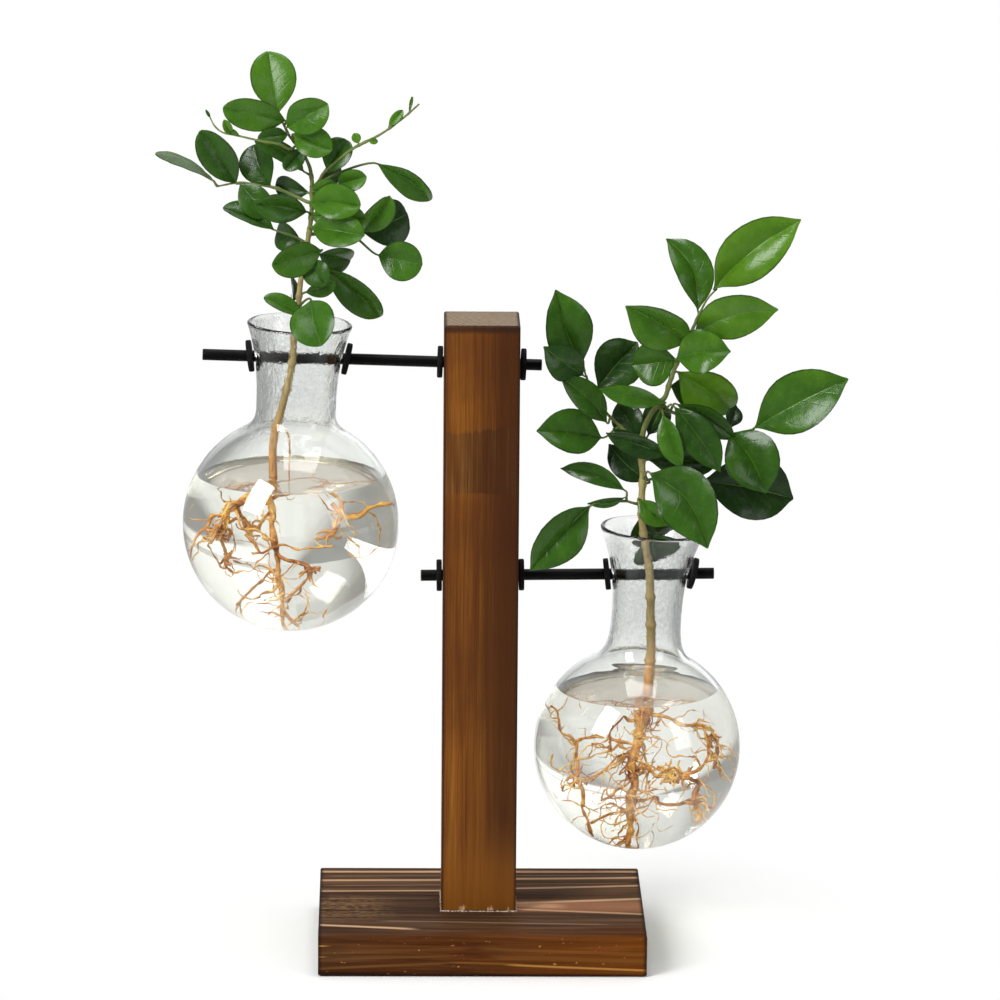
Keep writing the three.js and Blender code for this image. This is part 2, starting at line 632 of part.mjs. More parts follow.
// How far along its rod, from the post's middle, a flask hangs: side is -1 on the left and 1 on the right
function reachAlong(flask, side) {
  const toBulb = POST_SIDE / 2 + flask.gapToPost + flask.bulb;
  return side * toBulb + flask.rodHeight * Math.sin(radians(flask.lean));
}

const lowerBulbHeight = BASE_THICKNESS + LOWER_BULB_ABOVE_BASE + LOWER_FLASK.bulb;
const lowerNeckHeight = lowerBulbHeight + LOWER_FLASK.rodHeight * Math.cos(radians(LOWER_FLASK.lean));
const lowerRodHeight = lowerNeckHeight + reachAlong(LOWER_FLASK, 1) * Math.sin(radians(LOWER_ROD_SLOPE));
const upperRodHeight = lowerRodHeight + ROD_SPACING;
const postHeight = upperRodHeight + POST_ABOVE_UPPER_ROD - BASE_THICKNESS;
const postFace = POST_SIDE / 2 + GAP;

function rodFrame(height, slope) {
  const frame = new THREE.Group();
  frame.position.set(POST_OFFSET_X, POST_OFFSET_Y, height);
  frame.rotation.y = radians(slope);
  frame.updateMatrixWorld();
  return frame;
}

// Where a flask's neck and bulb are, and how its rod and neck are turned about Y
function hung(rod, flask, side) {
  const lean = radians(flask.lean);
  const along = reachAlong(flask, side);
  const neck = new THREE.Vector3(along, 0, 0).applyMatrix4(rod.matrixWorld);
  const drop = new THREE.Vector3(Math.sin(lean), 0, Math.cos(lean)).multiplyScalar(-flask.rodHeight);
  return { along, neck, centre: neck.clone().add(drop), lean, slope: rod.rotation.y };
}

const upperRod = rodFrame(upperRodHeight, UPPER_ROD_SLOPE);
const lowerRod = rodFrame(lowerRodHeight, LOWER_ROD_SLOPE);
const upperPlace = hung(upperRod, UPPER_FLASK, -1);
const lowerPlace = hung(lowerRod, LOWER_FLASK, 1);

function placed(group, position, turn) {
  group.position.copy(position);
  group.rotation.y = turn;
  return group;
}

function buildStand() {
  const stand = new THREE.Group();
  const screwPlaces = [['base_screw_left', -SCREW_SPACING / 2], ['base_screw_right', SCREW_SPACING / 2]];
  let board = solid(easedBlock(BASE_WIDTH, BASE_DEPTH, BASE_THICKNESS, WOOD_EDGE));
  const postBlock = easedBlock(POST_SIDE, POST_SIDE, postHeight, WOOD_EDGE);
  postBlock.translate(POST_OFFSET_X, POST_OFFSET_Y, BASE_THICKNESS);
  let post = solid(postBlock);
  for (const [name, x] of screwPlaces) {
    const hole = turned(screwProfile(GAP), HOLE_FACETS);
    hole.translate(POST_OFFSET_X + x, POST_OFFSET_Y, SCREW_SINK);
    const sink = cutter(SCREW_HEAD_RADIUS + GAP, 2 * SCREW_SINK, HOLE_FACETS);
    sink.translate(POST_OFFSET_X + x, POST_OFFSET_Y, 0);
    board = board.subtract(solid(hole)).subtract(solid(sink));
    post = post.subtract(solid(hole));
    const screw = piece(name, screwGeometry(), MATERIALS.screwSteel);
    screw.position.set(POST_OFFSET_X + x, POST_OFFSET_Y, SCREW_SINK);
    stand.add(screw);
  }
  for (const rod of [upperRod, lowerRod]) {
    const bore = cutter(ROD_RADIUS + GAP, 2 * POST_SIDE, ROD_FACETS);
    bore.rotateY(Math.PI / 2);
    bore.applyMatrix4(rod.matrixWorld);
    post = post.subtract(solid(bore));
  }
  stand.add(piece('base_board', surface(board), MATERIALS.baseWood));
  stand.add(piece('post', surface(post), MATERIALS.postWood));
  return stand;
}

// Post washers sit against the post's sides, one to each side of a rod
function postWashers(level, rod) {
  const tip = WASHER_RADIUS * Math.sin(Math.abs(rod.rotation.y));
  return [['left', -1], ['right', 1]].map(([side, sign]) => {
    const washer = piece(`${level}_post_washer_${side}`, washerGeometry(0), MATERIALS.rubber);
    const reach = sign * (postFace + tip + WASHER_THICKNESS / 2);
    return placed(washer, new THREE.Vector3(reach, 0, 0).applyMatrix4(rod.matrixWorld), rod.rotation.y);
  });
}

// Neck washers lie against the glass and tilt with its flare
function neckWashers(level, flask, place) {
  return [['left', -1], ['right', 1]].map(([side, sign]) => {
    const climb = sign * neckAt(flask, flask.rodHeight).radius * Math.tan(place.lean - place.slope);
    const { radius, slope, swell } = neckAt(flask, flask.rodHeight + climb);
    const turn = place.lean + sign * slope;
    const tilt = Math.abs(turn - place.slope);
    const washer = piece(`${level}_neck_washer_${side}`, washerGeometry(tilt), MATERIALS.rubber);
    const reach = sign * (radius + swell + GAP + WASHER_THICKNESS / 2);
    const spot = new THREE.Vector3(Math.cos(place.slope), 0, -Math.sin(place.slope)).multiplyScalar(reach);
    return placed(washer, spot.add(place.neck), turn);
  });
}

function buildPlant(level, flask, place, plant) {
  const group = new THREE.Group();
  const scale = (flask.bulb - GLASS_WALL) / plant.grownIn;
  const clearOfRod = ROD_RADIUS + GAP + plant.stem.foot;
  const toNeck = place.centre.clone().sub(place.neck);
  const route = [
    ...plant.inBulb.map((point) => vector(point).add(toNeck)),
    new THREE.Vector3(plant.xAtRod, -clearOfRod, 0),
    ...plant.above.map(vector),
  ];
  const size = [plant.stem.foot, plant.stem.top, STEM_FACETS, STEM_STEP];
  const bare = stalk(route, ...size, { to: plant.bareShare, trim: GAP });
  const leader = stalk(route, ...size, { from: plant.bareShare });
  const atNeck = placed(new THREE.Group(), place.neck, 0);
  atNeck.add(piece(`${level}_stem`, bare.geometry, MATERIALS.stem));
  atNeck.add(piece(`${level}_leader`, surface(withLeaves(leader, plant.leaves, plant.form)), plant.material));
  for (const [name, sprig] of Object.entries(plant.shoots)) {
    const geometry = shoot(sprig, leader, plant.stem, plant.form);
    atNeck.add(piece(`${level}_${name}_shoot`, geometry, plant.material));
  }
  const sleeve = stalk(route, ...size, { to: plant.bareShare, spare: GAP }).geometry;
  sleeve.translate(-toNeck.x, 0, -toNeck.z);
  const water = waterGeometry(flask, sleeve, rootBall(plant, scale, GAP));
  const atCentre = placed(new THREE.Group(), place.centre, 0);
  atCentre.add(piece(`${level}_roots`, surface(rootBall(plant, scale, 0)), MATERIALS.root));
  atCentre.add(piece(`${level}_water`, water, MATERIALS.water));
  group.add(atNeck, atCentre);
  return group;
}

function buildFlask(level, flask, place, plant) {
  const group = new THREE.Group();
  const glass = piece(`${level}_flask`, flaskGeometry(flask, place.slope - place.lean), MATERIALS.glass);
  group.add(placed(glass, place.neck, place.lean));
  group.add(...neckWashers(level, flask, place));
  group.add(buildPlant(level, flask, place, plant));
  return group;
}

function buildRod(name, rod, left, right) {
  return placed(piece(name, rodGeometry(left, right), MATERIALS.blackSteel), rod.position, rod.rotation.y);
}

const UPPER_PLANT = {
  grownIn: ROOTS_GROWN_IN.upper,
  inBulb: UPPER_STEM_IN_BULB,
  xAtRod: UPPER_STEM_X_AT_ROD,
  bareShare: UPPER_STEM_BARE_SHARE,
  above: UPPER_STEM_ABOVE,
  stem: UPPER_STEM,
  form: UPPER_LEAF,
  material: MATERIALS.upperLeaf,
  leaves: UPPER_LEADER_LEAVES,
  shoots: {
    left: UPPER_LEFT_SHOOT,
    right: UPPER_RIGHT_SHOOT,
    young: UPPER_YOUNG_SHOOT,
    top: UPPER_TOP_SHOOT,
  },
  roots: UPPER_ROOTS,
};
const LOWER_PLANT = {
  grownIn: ROOTS_GROWN_IN.lower,
  inBulb: LOWER_STEM_IN_BULB,
  xAtRod: LOWER_STEM_X_AT_ROD,
  bareShare: LOWER_STEM_BARE_SHARE,
  above: LOWER_STEM_ABOVE,
  stem: LOWER_STEM,
  form: LOWER_LEAF,
  material: MATERIALS.lowerLeaf,
  leaves: LOWER_LEADER_LEAVES,
  shoots: {
    foot: LOWER_FOOT_SHOOT,
    left: LOWER_LEFT_SHOOT,
    right: LOWER_RIGHT_SHOOT,
    top: LOWER_TOP_SHOOT,
  },
  roots: LOWER_ROOTS,
};

const stubEnd = postFace + WASHER_THICKNESS + STUB_PAST_WASHER;
const vase = new THREE.Group();
vase.add(buildStand());
vase.add(...postWashers('upper', upperRod), ...postWashers('lower', lowerRod));
vase.add(buildRod('upper_rod', upperRod, upperPlace.along - UPPER_ROD_PAST_NECK, stubEnd));
vase.add(buildRod('lower_rod', lowerRod, -stubEnd, lowerPlace.along + LOWER_ROD_PAST_NECK));
vase.add(buildFlask('upper', UPPER_FLASK, upperPlace, UPPER_PLANT));
vase.add(buildFlask('lower', LOWER_FLASK, lowerPlace, LOWER_PLANT));

export default vase;
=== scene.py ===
"""Looks of a hydroponic vase: two flasks of water with rooted cuttings on a wooden stand."""
import json
import math
import random
from collections import namedtuple

import bmesh
import bpy
import numpy as np
from mathutils import Matrix, Vector
from mathutils.geometry import interpolate_bezier


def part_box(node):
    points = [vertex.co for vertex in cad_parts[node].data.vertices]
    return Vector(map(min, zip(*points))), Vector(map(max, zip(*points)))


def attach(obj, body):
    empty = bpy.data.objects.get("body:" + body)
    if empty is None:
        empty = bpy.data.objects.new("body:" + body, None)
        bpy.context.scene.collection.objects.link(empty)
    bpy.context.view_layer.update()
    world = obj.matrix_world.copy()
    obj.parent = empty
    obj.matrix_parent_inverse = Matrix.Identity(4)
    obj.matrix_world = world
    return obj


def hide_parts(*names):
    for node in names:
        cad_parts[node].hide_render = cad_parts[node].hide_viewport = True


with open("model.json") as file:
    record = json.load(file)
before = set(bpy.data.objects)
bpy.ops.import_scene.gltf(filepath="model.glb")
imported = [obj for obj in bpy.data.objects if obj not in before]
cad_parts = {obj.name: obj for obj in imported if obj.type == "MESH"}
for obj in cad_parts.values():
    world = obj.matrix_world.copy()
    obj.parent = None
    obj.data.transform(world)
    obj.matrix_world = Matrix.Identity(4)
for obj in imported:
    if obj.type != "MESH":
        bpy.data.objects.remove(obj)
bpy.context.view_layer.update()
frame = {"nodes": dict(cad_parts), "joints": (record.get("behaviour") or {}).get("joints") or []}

MM = 0.001

# Stand, in millimetres
POST_MIDDLE = (-1.1, 0.9)
POST_SIDE = 27.8
POST_TOP = 238.4
BASE_TOP = 15.4
BASE_HALF_WIDTH = 60.7
ROD_RADIUS = 2.1
ROD_STUB = 22.2
ROD_EASE = 0.35
ROD_END_RING = 1.3
ROD_STEPS = 40
ROD_SIDES = 48
WASHER_RADIUS = 5.9
WASHER_THICKNESS = 2
WASHER_EASE = 0.5
WASHER_BORE = 2.15
BORE_EASE = 0.3
WASHER_SIDES = 64
GLUE_OUT = 0.1
GLUE_RADII = (0.22, 0.5)
GLUE_STEPS = 36
# Heights between which the post is rubbed bare, and the fading length of a streak's ends
WORN_BAND = (177.2, 202.8)
STREAK_FADE = 8

# Flasks: heights are measured from the centre of the bulb
GLASS_WALL = 1.6
HOLE_RADIUS = 3
HOLE_DROP = 0.6
DRILL_LENGTH = 80
BULB_STEPS = 56
SHOULDER_STEPS = 14
NECK_STEPS = 30
LIP_STEPS = 8
FLASK_SIDES = 128
WATER_OVERLAP = 0.12
WATER_CLIMB = 0.55
CLIMB_WIDTH = 0.5
WATER_STEPS = 60
FLASKS = {
    "upper": {
        "bulb": 40, "shoulder": 60, "shoulder_run": 4, "waist": 14.7, "waist_height": 43,
        "rod_height": 62.7, "rim": 19.3, "rim_height": 74.7, "flare": 20, "rim_pull": 11,
        "lean": 2.5, "water": 18, "past_neck": -35.3,
    },
    "lower": {
        "bulb": 38.5, "shoulder": 62, "shoulder_run": 3.6, "waist": 13, "waist_height": 50,
        "rod_height": 66.4, "rim": 19.3, "rim_height": 83.1, "flare": 22, "rim_pull": 14,
        "lean": 3.3, "water": 22, "past_neck": 24,
    },
}

# Cuttings: points are from the rod in the neck, those of in_bulb, hanging_root, roots and knots from
# the centre of the bulb. A root has its radius at its start and at its tip, and its points. A leaf
# has its place along its twig, its blade's foot and tip, its width, how light its green is, its roll
# about the midrib in degrees, its arch towards the viewer and its sideways bow.
Leaf = namedtuple("Leaf", "place foot tip width tone roll arch bow", defaults=(0, 1, 0))
UPPER_LEAVES = [
    (0.6, (5, -12, 23.5), (8.8, -26, 9.4), 17, 0.42, 8, 2, 0.5),
    (0.59, (2.5, -10, 17), (-12.3, -9, 24.3), 6.5, 0.42, 35, 1, 0.5),
    (0.61, (-2, -1, 21), (-2.5, 7, 29.5), 6, 0.1, 75, 0),
    (0.64, (3, -5, 25.5), (13.5, -12, 31), 6.5, 0.3, 30, 1, 0.5),
    (0.72, (9, -1, 34), (30, 8, 14), 12, 0.37, 0, 1, -1),
    (0.74, (8.3, -7.5, 41.6), (-9.3, -17, 38), 13.5, 0.45, 10),
    (0.72, (4, -6, 36.5), (10, -13, 30), 10, 0.25),
    (0.77, (7.5, -4, 39.5), (19, 6, 35.5), 11.5, 0.2),
    (0.81, (1.5, 0, 41.5), (-8, 9, 45.5), 10.5, 0.1, 0, 1, 0.5),
    (0.81, (-9, 1, 47.5), (-27.7, 5, 54.6), 9, 0.25, 30, 1, 0.6),
    (0.86, (5, -5, 49.5), (23.8, -15, 48.5), 13.5, 0.5, -6),
    (0.9, (5, 0, 53), (24.8, -8, 54), 12.5, 0.56, 6),
    (0.94, (4.5, -5, 58.5), (22.3, -13, 59.3), 13.5, 0.52, -14, 1, -0.5),
    (0.9, (3, -3, 55), (-15.8, -11, 59.5), 11, 0.28, 0, 1, 0.5),
    (0.97, (3.5, 5, 60.5), (-8, 14, 62.5), 9, 0.1),
    (0.98, (5.5, -3, 62.5), (14, -8, 66.5), 8, 0.5),
]
UPPER_SHOOTS = {
    "left": {
        "from": 0.945,
        "twig": [(-3, 4, 60.3), (-9, 5, 62.5), (-16, 6, 63.5), (-22, 6, 64), (-30, 4, 63)],
        "leaves": [
            (0.38, (-10.3, 5.5, 63), (-17, 11, 77.3), 14, 0.18, 0, 1, -0.5),
            (0.76, (-22.9, 6, 63.8), (-35.6, 0, 84.4), 13, 0.2, 0, 1, 0.5),
            (1, (-31.5, 3, 65.5), (-52.5, -6, 76), 6.2, 0.55, 232, -0.5, -3.2),
            (0.72, (-21.5, 6, 63.5), (-11.5, 2, 52.5), 11.5, 0.25),
        ],
    },
    "right": {
        "from": 0.844,
        "twig": [(12, 4, 46), (18, 5, 45.6), (24, 4, 45)],
        "leaves": [
            (1, (23.5, 1, 47), (33.5, -5, 61), 10.5, 0.5),
            (0.9, (23.5, 7, 45.5), (40, 15, 51), 17.5, 0.05),
            (0.75, (29.3, 1, 38.2), (45.3, -4, 35.5), 14.8, 0.42),
        ],
    },
    "young": {
        "from": 0.98,
        "twig": [(9, -3, 69), (14, -5, 74), (20, -6, 79), (30, -7, 84.5), (38, -8, 90.5), (44, -9, 96)],
        "leaves": [
            (0.22, (11, -4, 70), (17.5, -1, 81), 11, 0.2),
            (0.5, (22, -6.5, 81), (20.5, -6, 84.5), 3.5, 0.7, 0, 0),
            (0.55, (25.5, -7, 82.2), (29, -7, 81.8), 2.4, 0.7, 0, 0),
            (0.74, (33, -7.5, 87.5), (38, -8, 93.5), 3.6, 0.6, 0, 0),
            (0.9, (40.5, -8.5, 93.5), (41.5, -8, 98.5), 1.2, 0.5, 0, 0),
            (0.1, (29, -1, 72.5), (48, 6, 57.6), 10.2, 0.38, 0, 1, -2.2),
            (0.07, (14.3, -4, 65), (24.8, -8, 69), 8, 0.5),
            (0.1, (8.5, 1, 66.5), (16, 7, 70), 8, 0.15),
        ],
    },
    "top": {
        "from": 1,
        "twig": [(4, 1.5, 71), (1, 1.5, 77), (-3, 0.5, 82), (-5, 0, 86), (-7, -0.5, 90)],
        "leaves": [
            (1, (-7.3, -1, 91), (-11.2, 7, 111.9), 17, 0.58, 15),
            (0.86, (-4.5, -3, 88.6), (-26.8, -12, 94.4), 12.2, 0.5, 0, 1, 0.5),
            (0.8, (-4, -4, 86.5), (10.8, -12, 96.5), 13.5, 0.52),
            (0.62, (-1.5, -2, 83.5), (12, -9, 79), 11.5, 0.5),
            (0.12, (2, 2, 69), (-15.5, 1, 80.5), 7.5, 0.3, 0, 1, 2.5),
            (0.75, (-4, -3, 83.5), (-14.5, -8, 83), 6.5, 0.25),
            (0.4, (2, -1, 77.5), (-5, -5, 71), 7, 0.2),
        ],
        "side_twig": [
            (-0.5, 1.5, 79), (-3.1, -6, 78.7), (-6.8, -9, 81), (-12, -11, 82.2), (-16.5, -10.5, 83.1),
            (-22.4, -9, 84.2), (-28, -5, 84.8), (-30.6, -4, 87), (-32, -3, 89.5),
        ],
        "side_leaves": [
            (0.99, (-32, -3, 89.5), (-33.6, -3, 92.5), 1.2, 0.3, 0, 0),
            (0.74, (-24.5, -9.5, 84.9), (-26.8, -13, 90.3), 3.4, 0.7, 0, 0.5),
            (0.66, (-21.5, -10, 84.4), (-25, -11, 86.6), 1.8, 0.6, 0, 0),
        ],
    },
}
UPPER_ROOTS = [
    (1.15, 0.55, [(-6, -1, 8), (-5, -2, 0), (-3.5, -2, -12), (-2.5, -1, -22), (-1.5, 0, -31)]),
    (0.75, 0.4, [
        (-6.3, -1, 11), (-12, -3, 10), (-18, -4, 4), (-20, -3, -2), (-18, -2, -10), (-16, -1, -14),
    ]),
    (0.6, 0.4, [(-12, -3, 10), (-19, -4, 5), (-26, -4, -1), (-32, -3, -11)]),
    (0.5, 0.4, [(-18.6, -4, 3), (-22, -5, 0), (-24, -6, -5)]),
    (0.6, 0.45, [(-13, -3, 9), (-14, 0, 4), (-11.5, 2, -1), (-7, 0, 1), (-5, -2, 4)]),
    (0.42, 0.3, [(-12.5, 1, -3.5), (-8, -3, -6.5), (2, -4, -6.8), (12, -3, -6)]),
    (0.6, 0.55, [(-6, -1.2, 7), (3, 4, 9), (10, 6, 8), (13, 6, 2), (11, 5, -4.5)]),
    (0.45, 0.6, [(-4, -2, -8), (1.5, -4, -10.5), (5, -5, -11.5), (5.5, -5, -15)]),
    (0.5, 0.3, [(5.5, -5, -14), (2, -4, -18), (-1, -2, -22)]),
    (0.55, 0.6, [(11, 6, 4), (18, 5, 0), (24, 4, 4.5), (33, 0, 6)]),
    (0.45, 0.3, [(-3.4, -2, -13), (-9, 3, -17), (-14, 6, -23)]),
    (0.5, 0.35, [(-2.4, -1, -24), (1.5, 1, -29), (4, 1, -33)]),
]
LOWER_LEAVES = [
    (0.73, (-0.5, -8, 40), (20.3, -24, 15.3), 22, 0.28, 9, 2, -4.8),
    (0.73, (19, 5, 34), (54, 14, 25.5), 24, 0.05, 0, 2, -1),
    (0.72, (-0.5, 1, 35), (-15.5, 8, 47.5), 11, 0, 0, 1, -1),
    (0.63, (-1, 0, 25), (3.5, 9, 11), 20, 0.2),
    (0.57, (0, -1.5, 15.5), (2.5, 1.5, 4.5), 18.5, 0.15, 0, 0.5),
    (0.67, (-4.5, -7, 29.5), (6, -10, 21), 9, 0.45),
    (0.79, (-1, -1, 43.5), (26, 2, 42.5), 12.5, 0.1),
    (0.8, (7, -7, 47), (-17, -8, 55), 9, 0.05),
    (0.84, (-4, 3, 50.5), (-12, 10, 62.5), 12, 0.1),
    (0.85, (-1, 3, 52), (5, 10, 63), 10.5, 0.1),
    (0.86, (-4, -3, 52), (-14.5, -7, 56.5), 5, 0.2),
    (0.98, (4.5, -4, 66), (-20, -11, 72.5), 8, 0.38, 15, 1, -1),
]
LOWER_SHOOTS = {
    "foot": {
        "from": 0.662,
        "twig": [(-7.5, -4.5, 28.2), (-9.5, -5, 29)],
        "leaves": [
            (0.9, (-9.5, -4, 32.5), (-33.5, 2, 39.5), 7.6, 0.25, 20, 1, 2.2),
            (0.9, (-22.5, -10, 28), (-44.4, -18, 5.4), 17.5, 0.3, 0, 2, 2),
            (0.9, (-9.8, -6, 30.4), (-23.6, -10, 29), 3.6, 0.2, 10, 0.5, -0.8),
        ],
    },
    "left": {
        "from": 0.855,
        "twig": [(-11, 3, 55), (-17, 3, 61), (-22, 3, 69), (-25, 2, 76.5)],
        "leaves": [
            (1, (-25.6, 2, 79.5), (-35.9, -4, 108), 19.5, 0.32, 0, 2, -2.3),
            (0.93, (-25.5, -4, 76), (-40, -13, 88), 13.5, 0.1),
            (0.42, (-16.5, -1, 57.5), (-34, -8, 76.5), 11.5, 0.25, 0, 1, 1),
            (0.28, (-18.5, 0, 51.6), (-42.5, -7, 55.5), 17, 0.3, 0, 1.5, 0.4),
            (0.6, (-19.8, 6, 69), (-5.3, 15, 84.3), 18.5, 0.15, 0, 1, -0.5),
        ],
    },
    "right": {
        "from": 0.98,
        "twig": [(12, -2, 60), (20, -1, 55), (27, 0, 52.5), (33, 0, 54), (38, -1, 55.4)],
        "leaves": [
            (1, (38.2, -1.5, 56), (71.6, -10, 76.2), 22, 0.4, 0, 2, -0.8),
            (0.74, (28.5, -4, 54.5), (42, -13, 34), 20.5, 0.25, 0, 2, -1.5),
            (0.12, (9, -5, 65.5), (31, -5, 52), 10, 0.2, 0, 1, -1.5),
            (0.06, (8, -7, 65), (25, -14, 42), 13.5, 0.15, 0, 1, -1),
            (0.04, (4, -7, 62), (11, -13, 43), 10, 0.4),
            (0.78, (29.5, 2.5, 55), (31.5, 5, 63), 6.5, 0, 0, 0),
        ],
    },
    "top": {
        "from": 1,
        "twig": [(7, 0, 74), (10, 0, 82), (13, 0, 89), (17, 0, 98), (20, 0, 104), (23.5, 0, 108)],
        "leaves": [
            (1, (22.3, -1, 108), (53.1, -9, 135.2), 20, 0.62, 0, 2, -2.5),
            (0.74, (16.6, 2, 99.3), (5.1, 10, 124.7), 14, 0.42, 0, 2, 4),
            (0.7, (15.2, -3, 91.8), (45.1, -13, 102.7), 17, 0.55, 0, 2, -3),
            (0.54, (13, -3, 87.9), (-10.5, -11, 104), 18.5, 0.45, 0, 2, 1.6),
            (0.42, (9, 1.5, 81), (-7.5, 4, 78), 16.5, 0.4),
            (0.32, (9, -5, 82.6), (28.2, -13, 87), 16.5, 0.45, 0, 2, -1),
            (0.2, (9.5, 2.5, 76), (31, 10, 59), 20, 0.66, -4, 1, -1),
            (0.12, (7, 7, 70), (21, 14, 66), 13, 0.3),
        ],
    },
}
LOWER_ROOTS = [
    (2, 0.75, [(1.2, -1, 6), (-1, -2, -1.5), (-1, -2, -8), (-1.5, -2, -16), (-2, -1, -23), (-2, 0, -30)]),
    (0.5, 0.45, [(2.6, -1, 10), (9, -3, 9), (16, -2, 6.5), (21, 0, 5.5), (22.5, 2, 0), (21, 2, -7)]),
    (0.7, 0.5, [(-1, -2, -6), (4, -4, -6.5), (9, -5, -6.8), (14, -5, -7)]),
    (0.6, 0.9, [(13, -5, -7), (17, -4, -9), (17.6, -4, -14), (17.4, -3, -22)]),
    (0.5, 0.4, [(-1.5, -2, -14.5), (8, 2, -15.5), (16, 3, -16.5), (21, 3, -18)]),
    (0.45, 0.35, [(1.6, -1, 8), (-6, -5, 9), (-9, -6, 4), (-8, -6, 0)]),
    (0.5, 0.5, [
        (-0.5, -2, 1), (-10, 3, 2), (-17.6, 2, 0), (-17, -1, -8), (-15.5, -2, -17), (-12.5, -1, -27),
    ]),
    (0.45, 0.35, [(-17, 2.2, -0.2), (-20.2, 1, 3), (-27.5, 1, 13)]),
    (0.4, 0.3, [(-1.2, -2, -9), (-7, -7, -12.5), (-11, -9, -14.5)]),
    (0.4, 0.3, [(-1.6, -2, -18), (-7, 4, -19), (-11, 7, -22)]),
    (0.4, 0.3, [(-0.6, -2, 0.5), (-8, -6, -4), (-14, -8, -9)]),
    (0.5, 0.4, [(14, -5, -7), (19, -2, -4), (20, 0, 2)]),
]
CUTTINGS = {
    "upper": {
        "stem": (1.6, 1),
        "in_bulb": [(-6.5, -1, 15), (-6.4, -2, 31), (-4.4, -3, 40), (-2.8, -3.8, 46)],
        "at_rod": -2,
        "above": [
            (-1.5, -4.4, 9), (0, -3.5, 20), (1, -3, 30), (2.5, -2, 39), (4.2, -1, 48), (5, 0, 57),
            (5, 0, 64),
        ],
        "hanging_root": [
            (-3.6, -3.6, 37), (-1.2, -4.4, 34.5), (-0.4, -4.4, 28), (-0.6, -4.2, 21), (-0.5, -4, 16),
        ],
        "bare": 0.57,
        "scars": [0.2, 0.33, 0.42, 0.5],
        "leaves": UPPER_LEAVES,
        "shoots": UPPER_SHOOTS,
        "grown_in": 38.4,
        "roots": UPPER_ROOTS,
        "knots": [
            (-19, -4, 0), (-21.5, -4, -2), (-11.5, 2, -2), (10.8, 5, -4), (5.3, -5, -12.5),
            (-18, -2, -10),
        ],
        "rootlets": 80,
        "seed": 11,
    },
    "lower": {
        "stem": (2, 1.2),
        "in_bulb": [(3.4, -1, 14), (4.2, -2, 30), (4.6, -3, 40), (4.2, -3.8, 54)],
        "at_rod": 0,
        "above": [
            (-1, -4.4, 8), (-2.5, -4, 16), (-3.5, -3, 26), (-3, -2, 36), (-3.5, -1, 46), (-3, 0, 54),
            (0, 0, 61), (4, 0, 66),
        ],
        "bare": 0.53,
        "scars": [0.16, 0.28, 0.37, 0.47],
        "leaves": LOWER_LEAVES,
        "shoots": LOWER_SHOOTS,
        "grown_in": 36.9,
        "roots": LOWER_ROOTS,
        "knots": [
            (11, -5, -7), (13.5, -5, -7.2), (8.5, -5, -6.8), (20.5, 1, 3), (-17, -1, -9), (17.4, -4, -16),
        ],
        "rootlets": 170,
        "seed": 23,
    },
}

# Share of a blade's full width at places from its foot, 0, to its tip, 1
UPPER_BLADE = [
    (0, 0.03), (0.03, 0.09), (0.08, 0.24), (0.14, 0.42), (0.21, 0.6), (0.29, 0.77), (0.38, 0.9),
    (0.48, 0.98), (0.57, 1), (0.66, 0.98), (0.74, 0.92), (0.81, 0.82), (0.87, 0.7), (0.92, 0.56),
    (0.96, 0.39), (0.985, 0.22), (1, 0.05),
]
LOWER_BLADE = [
    (0, 0.03), (0.03, 0.08), (0.07, 0.19), (0.12, 0.36), (0.18, 0.55), (0.25, 0.73), (0.33, 0.88),
    (0.42, 0.98), (0.5, 1), (0.58, 0.98), (0.66, 0.91), (0.74, 0.79), (0.81, 0.64), (0.87, 0.46),
    (0.92, 0.28), (0.96, 0.14), (0.985, 0.07), (1, 0.02),
]
# Rows across a blade from its midrib: share of the half width, and height
BLADE_RISE = [(0, -0.006), (0.05, 0.0), (0.18, 0.022), (0.38, 0.05), (0.6, 0.072), (0.82, 0.086), (1, 0.09)]
LEAF_THICKNESS = 0.36
# Ranges of the random lift of a blade's rows, its droop, and its twist and roll in degrees
LEAF_LIFT = (1.3, 2.6)
LEAF_DROOP = (-0.05, 0.03)
LEAF_TWIST = 16
LEAF_ROLL = 20
MIDRIB_STEPS = 14
STALK_RADIUS = 0.45
THIN_STALK_RADIUS = 0.26
STALK_STEPS = 8
# Twigs: how wide and how much thicker a joint is, and the gap between stem and rod
JOINT_WIDTH = 0.9
JOINT_SWELL = 0.32
STEM_GAP = 0.3
TWIG_TIP = 0.32
PATH_STEPS = 12
# Roots: distances between kinks and between thick places, the range of those, stubs on a knot, steps
# of a rootlet, and how far its centre line stays from the glass and below the water's surface
KINK_SPACING = 3.2
WOBBLE_SPACING = 1.6
WOBBLE = (0.7, 1.35)
WOBBLE_COUNT = 400
STUBS_PER_KNOT = 9
ROOTLET_STEP = 1.1
ROOTLET_CLEARANCE = 2.2
ROOTLET_DEPTH = 1.5


# Modelling

def linked(name, data):
    """A new object in the scene that holds this curve, lamp or lens."""
    made = bpy.data.objects.new(name, data)
    bpy.context.collection.objects.link(made)
    return made


def active():
    return bpy.context.view_layer.objects.active


def choose(*objects):
    bpy.ops.object.select_all(action="DESELECT")
    for chosen in objects:
        chosen.select_set(True)
    bpy.context.view_layer.objects.active = objects[0]


def apply_modifiers(piece):
    choose(piece)
    for modifier in list(piece.modifiers):
        bpy.ops.object.modifier_apply(modifier=modifier.name)


def joined(name, pieces):
    choose(*pieces)
    bpy.ops.object.join()
    whole = active()
    whole.name = name
    whole.data.name = name
    return whole


def smoothed(piece, angle=35):
    """Smooth shading, apart from edges that turn by more than an angle in degrees."""
    choose(piece)
    bpy.ops.object.shade_smooth_by_angle(angle=math.radians(angle))


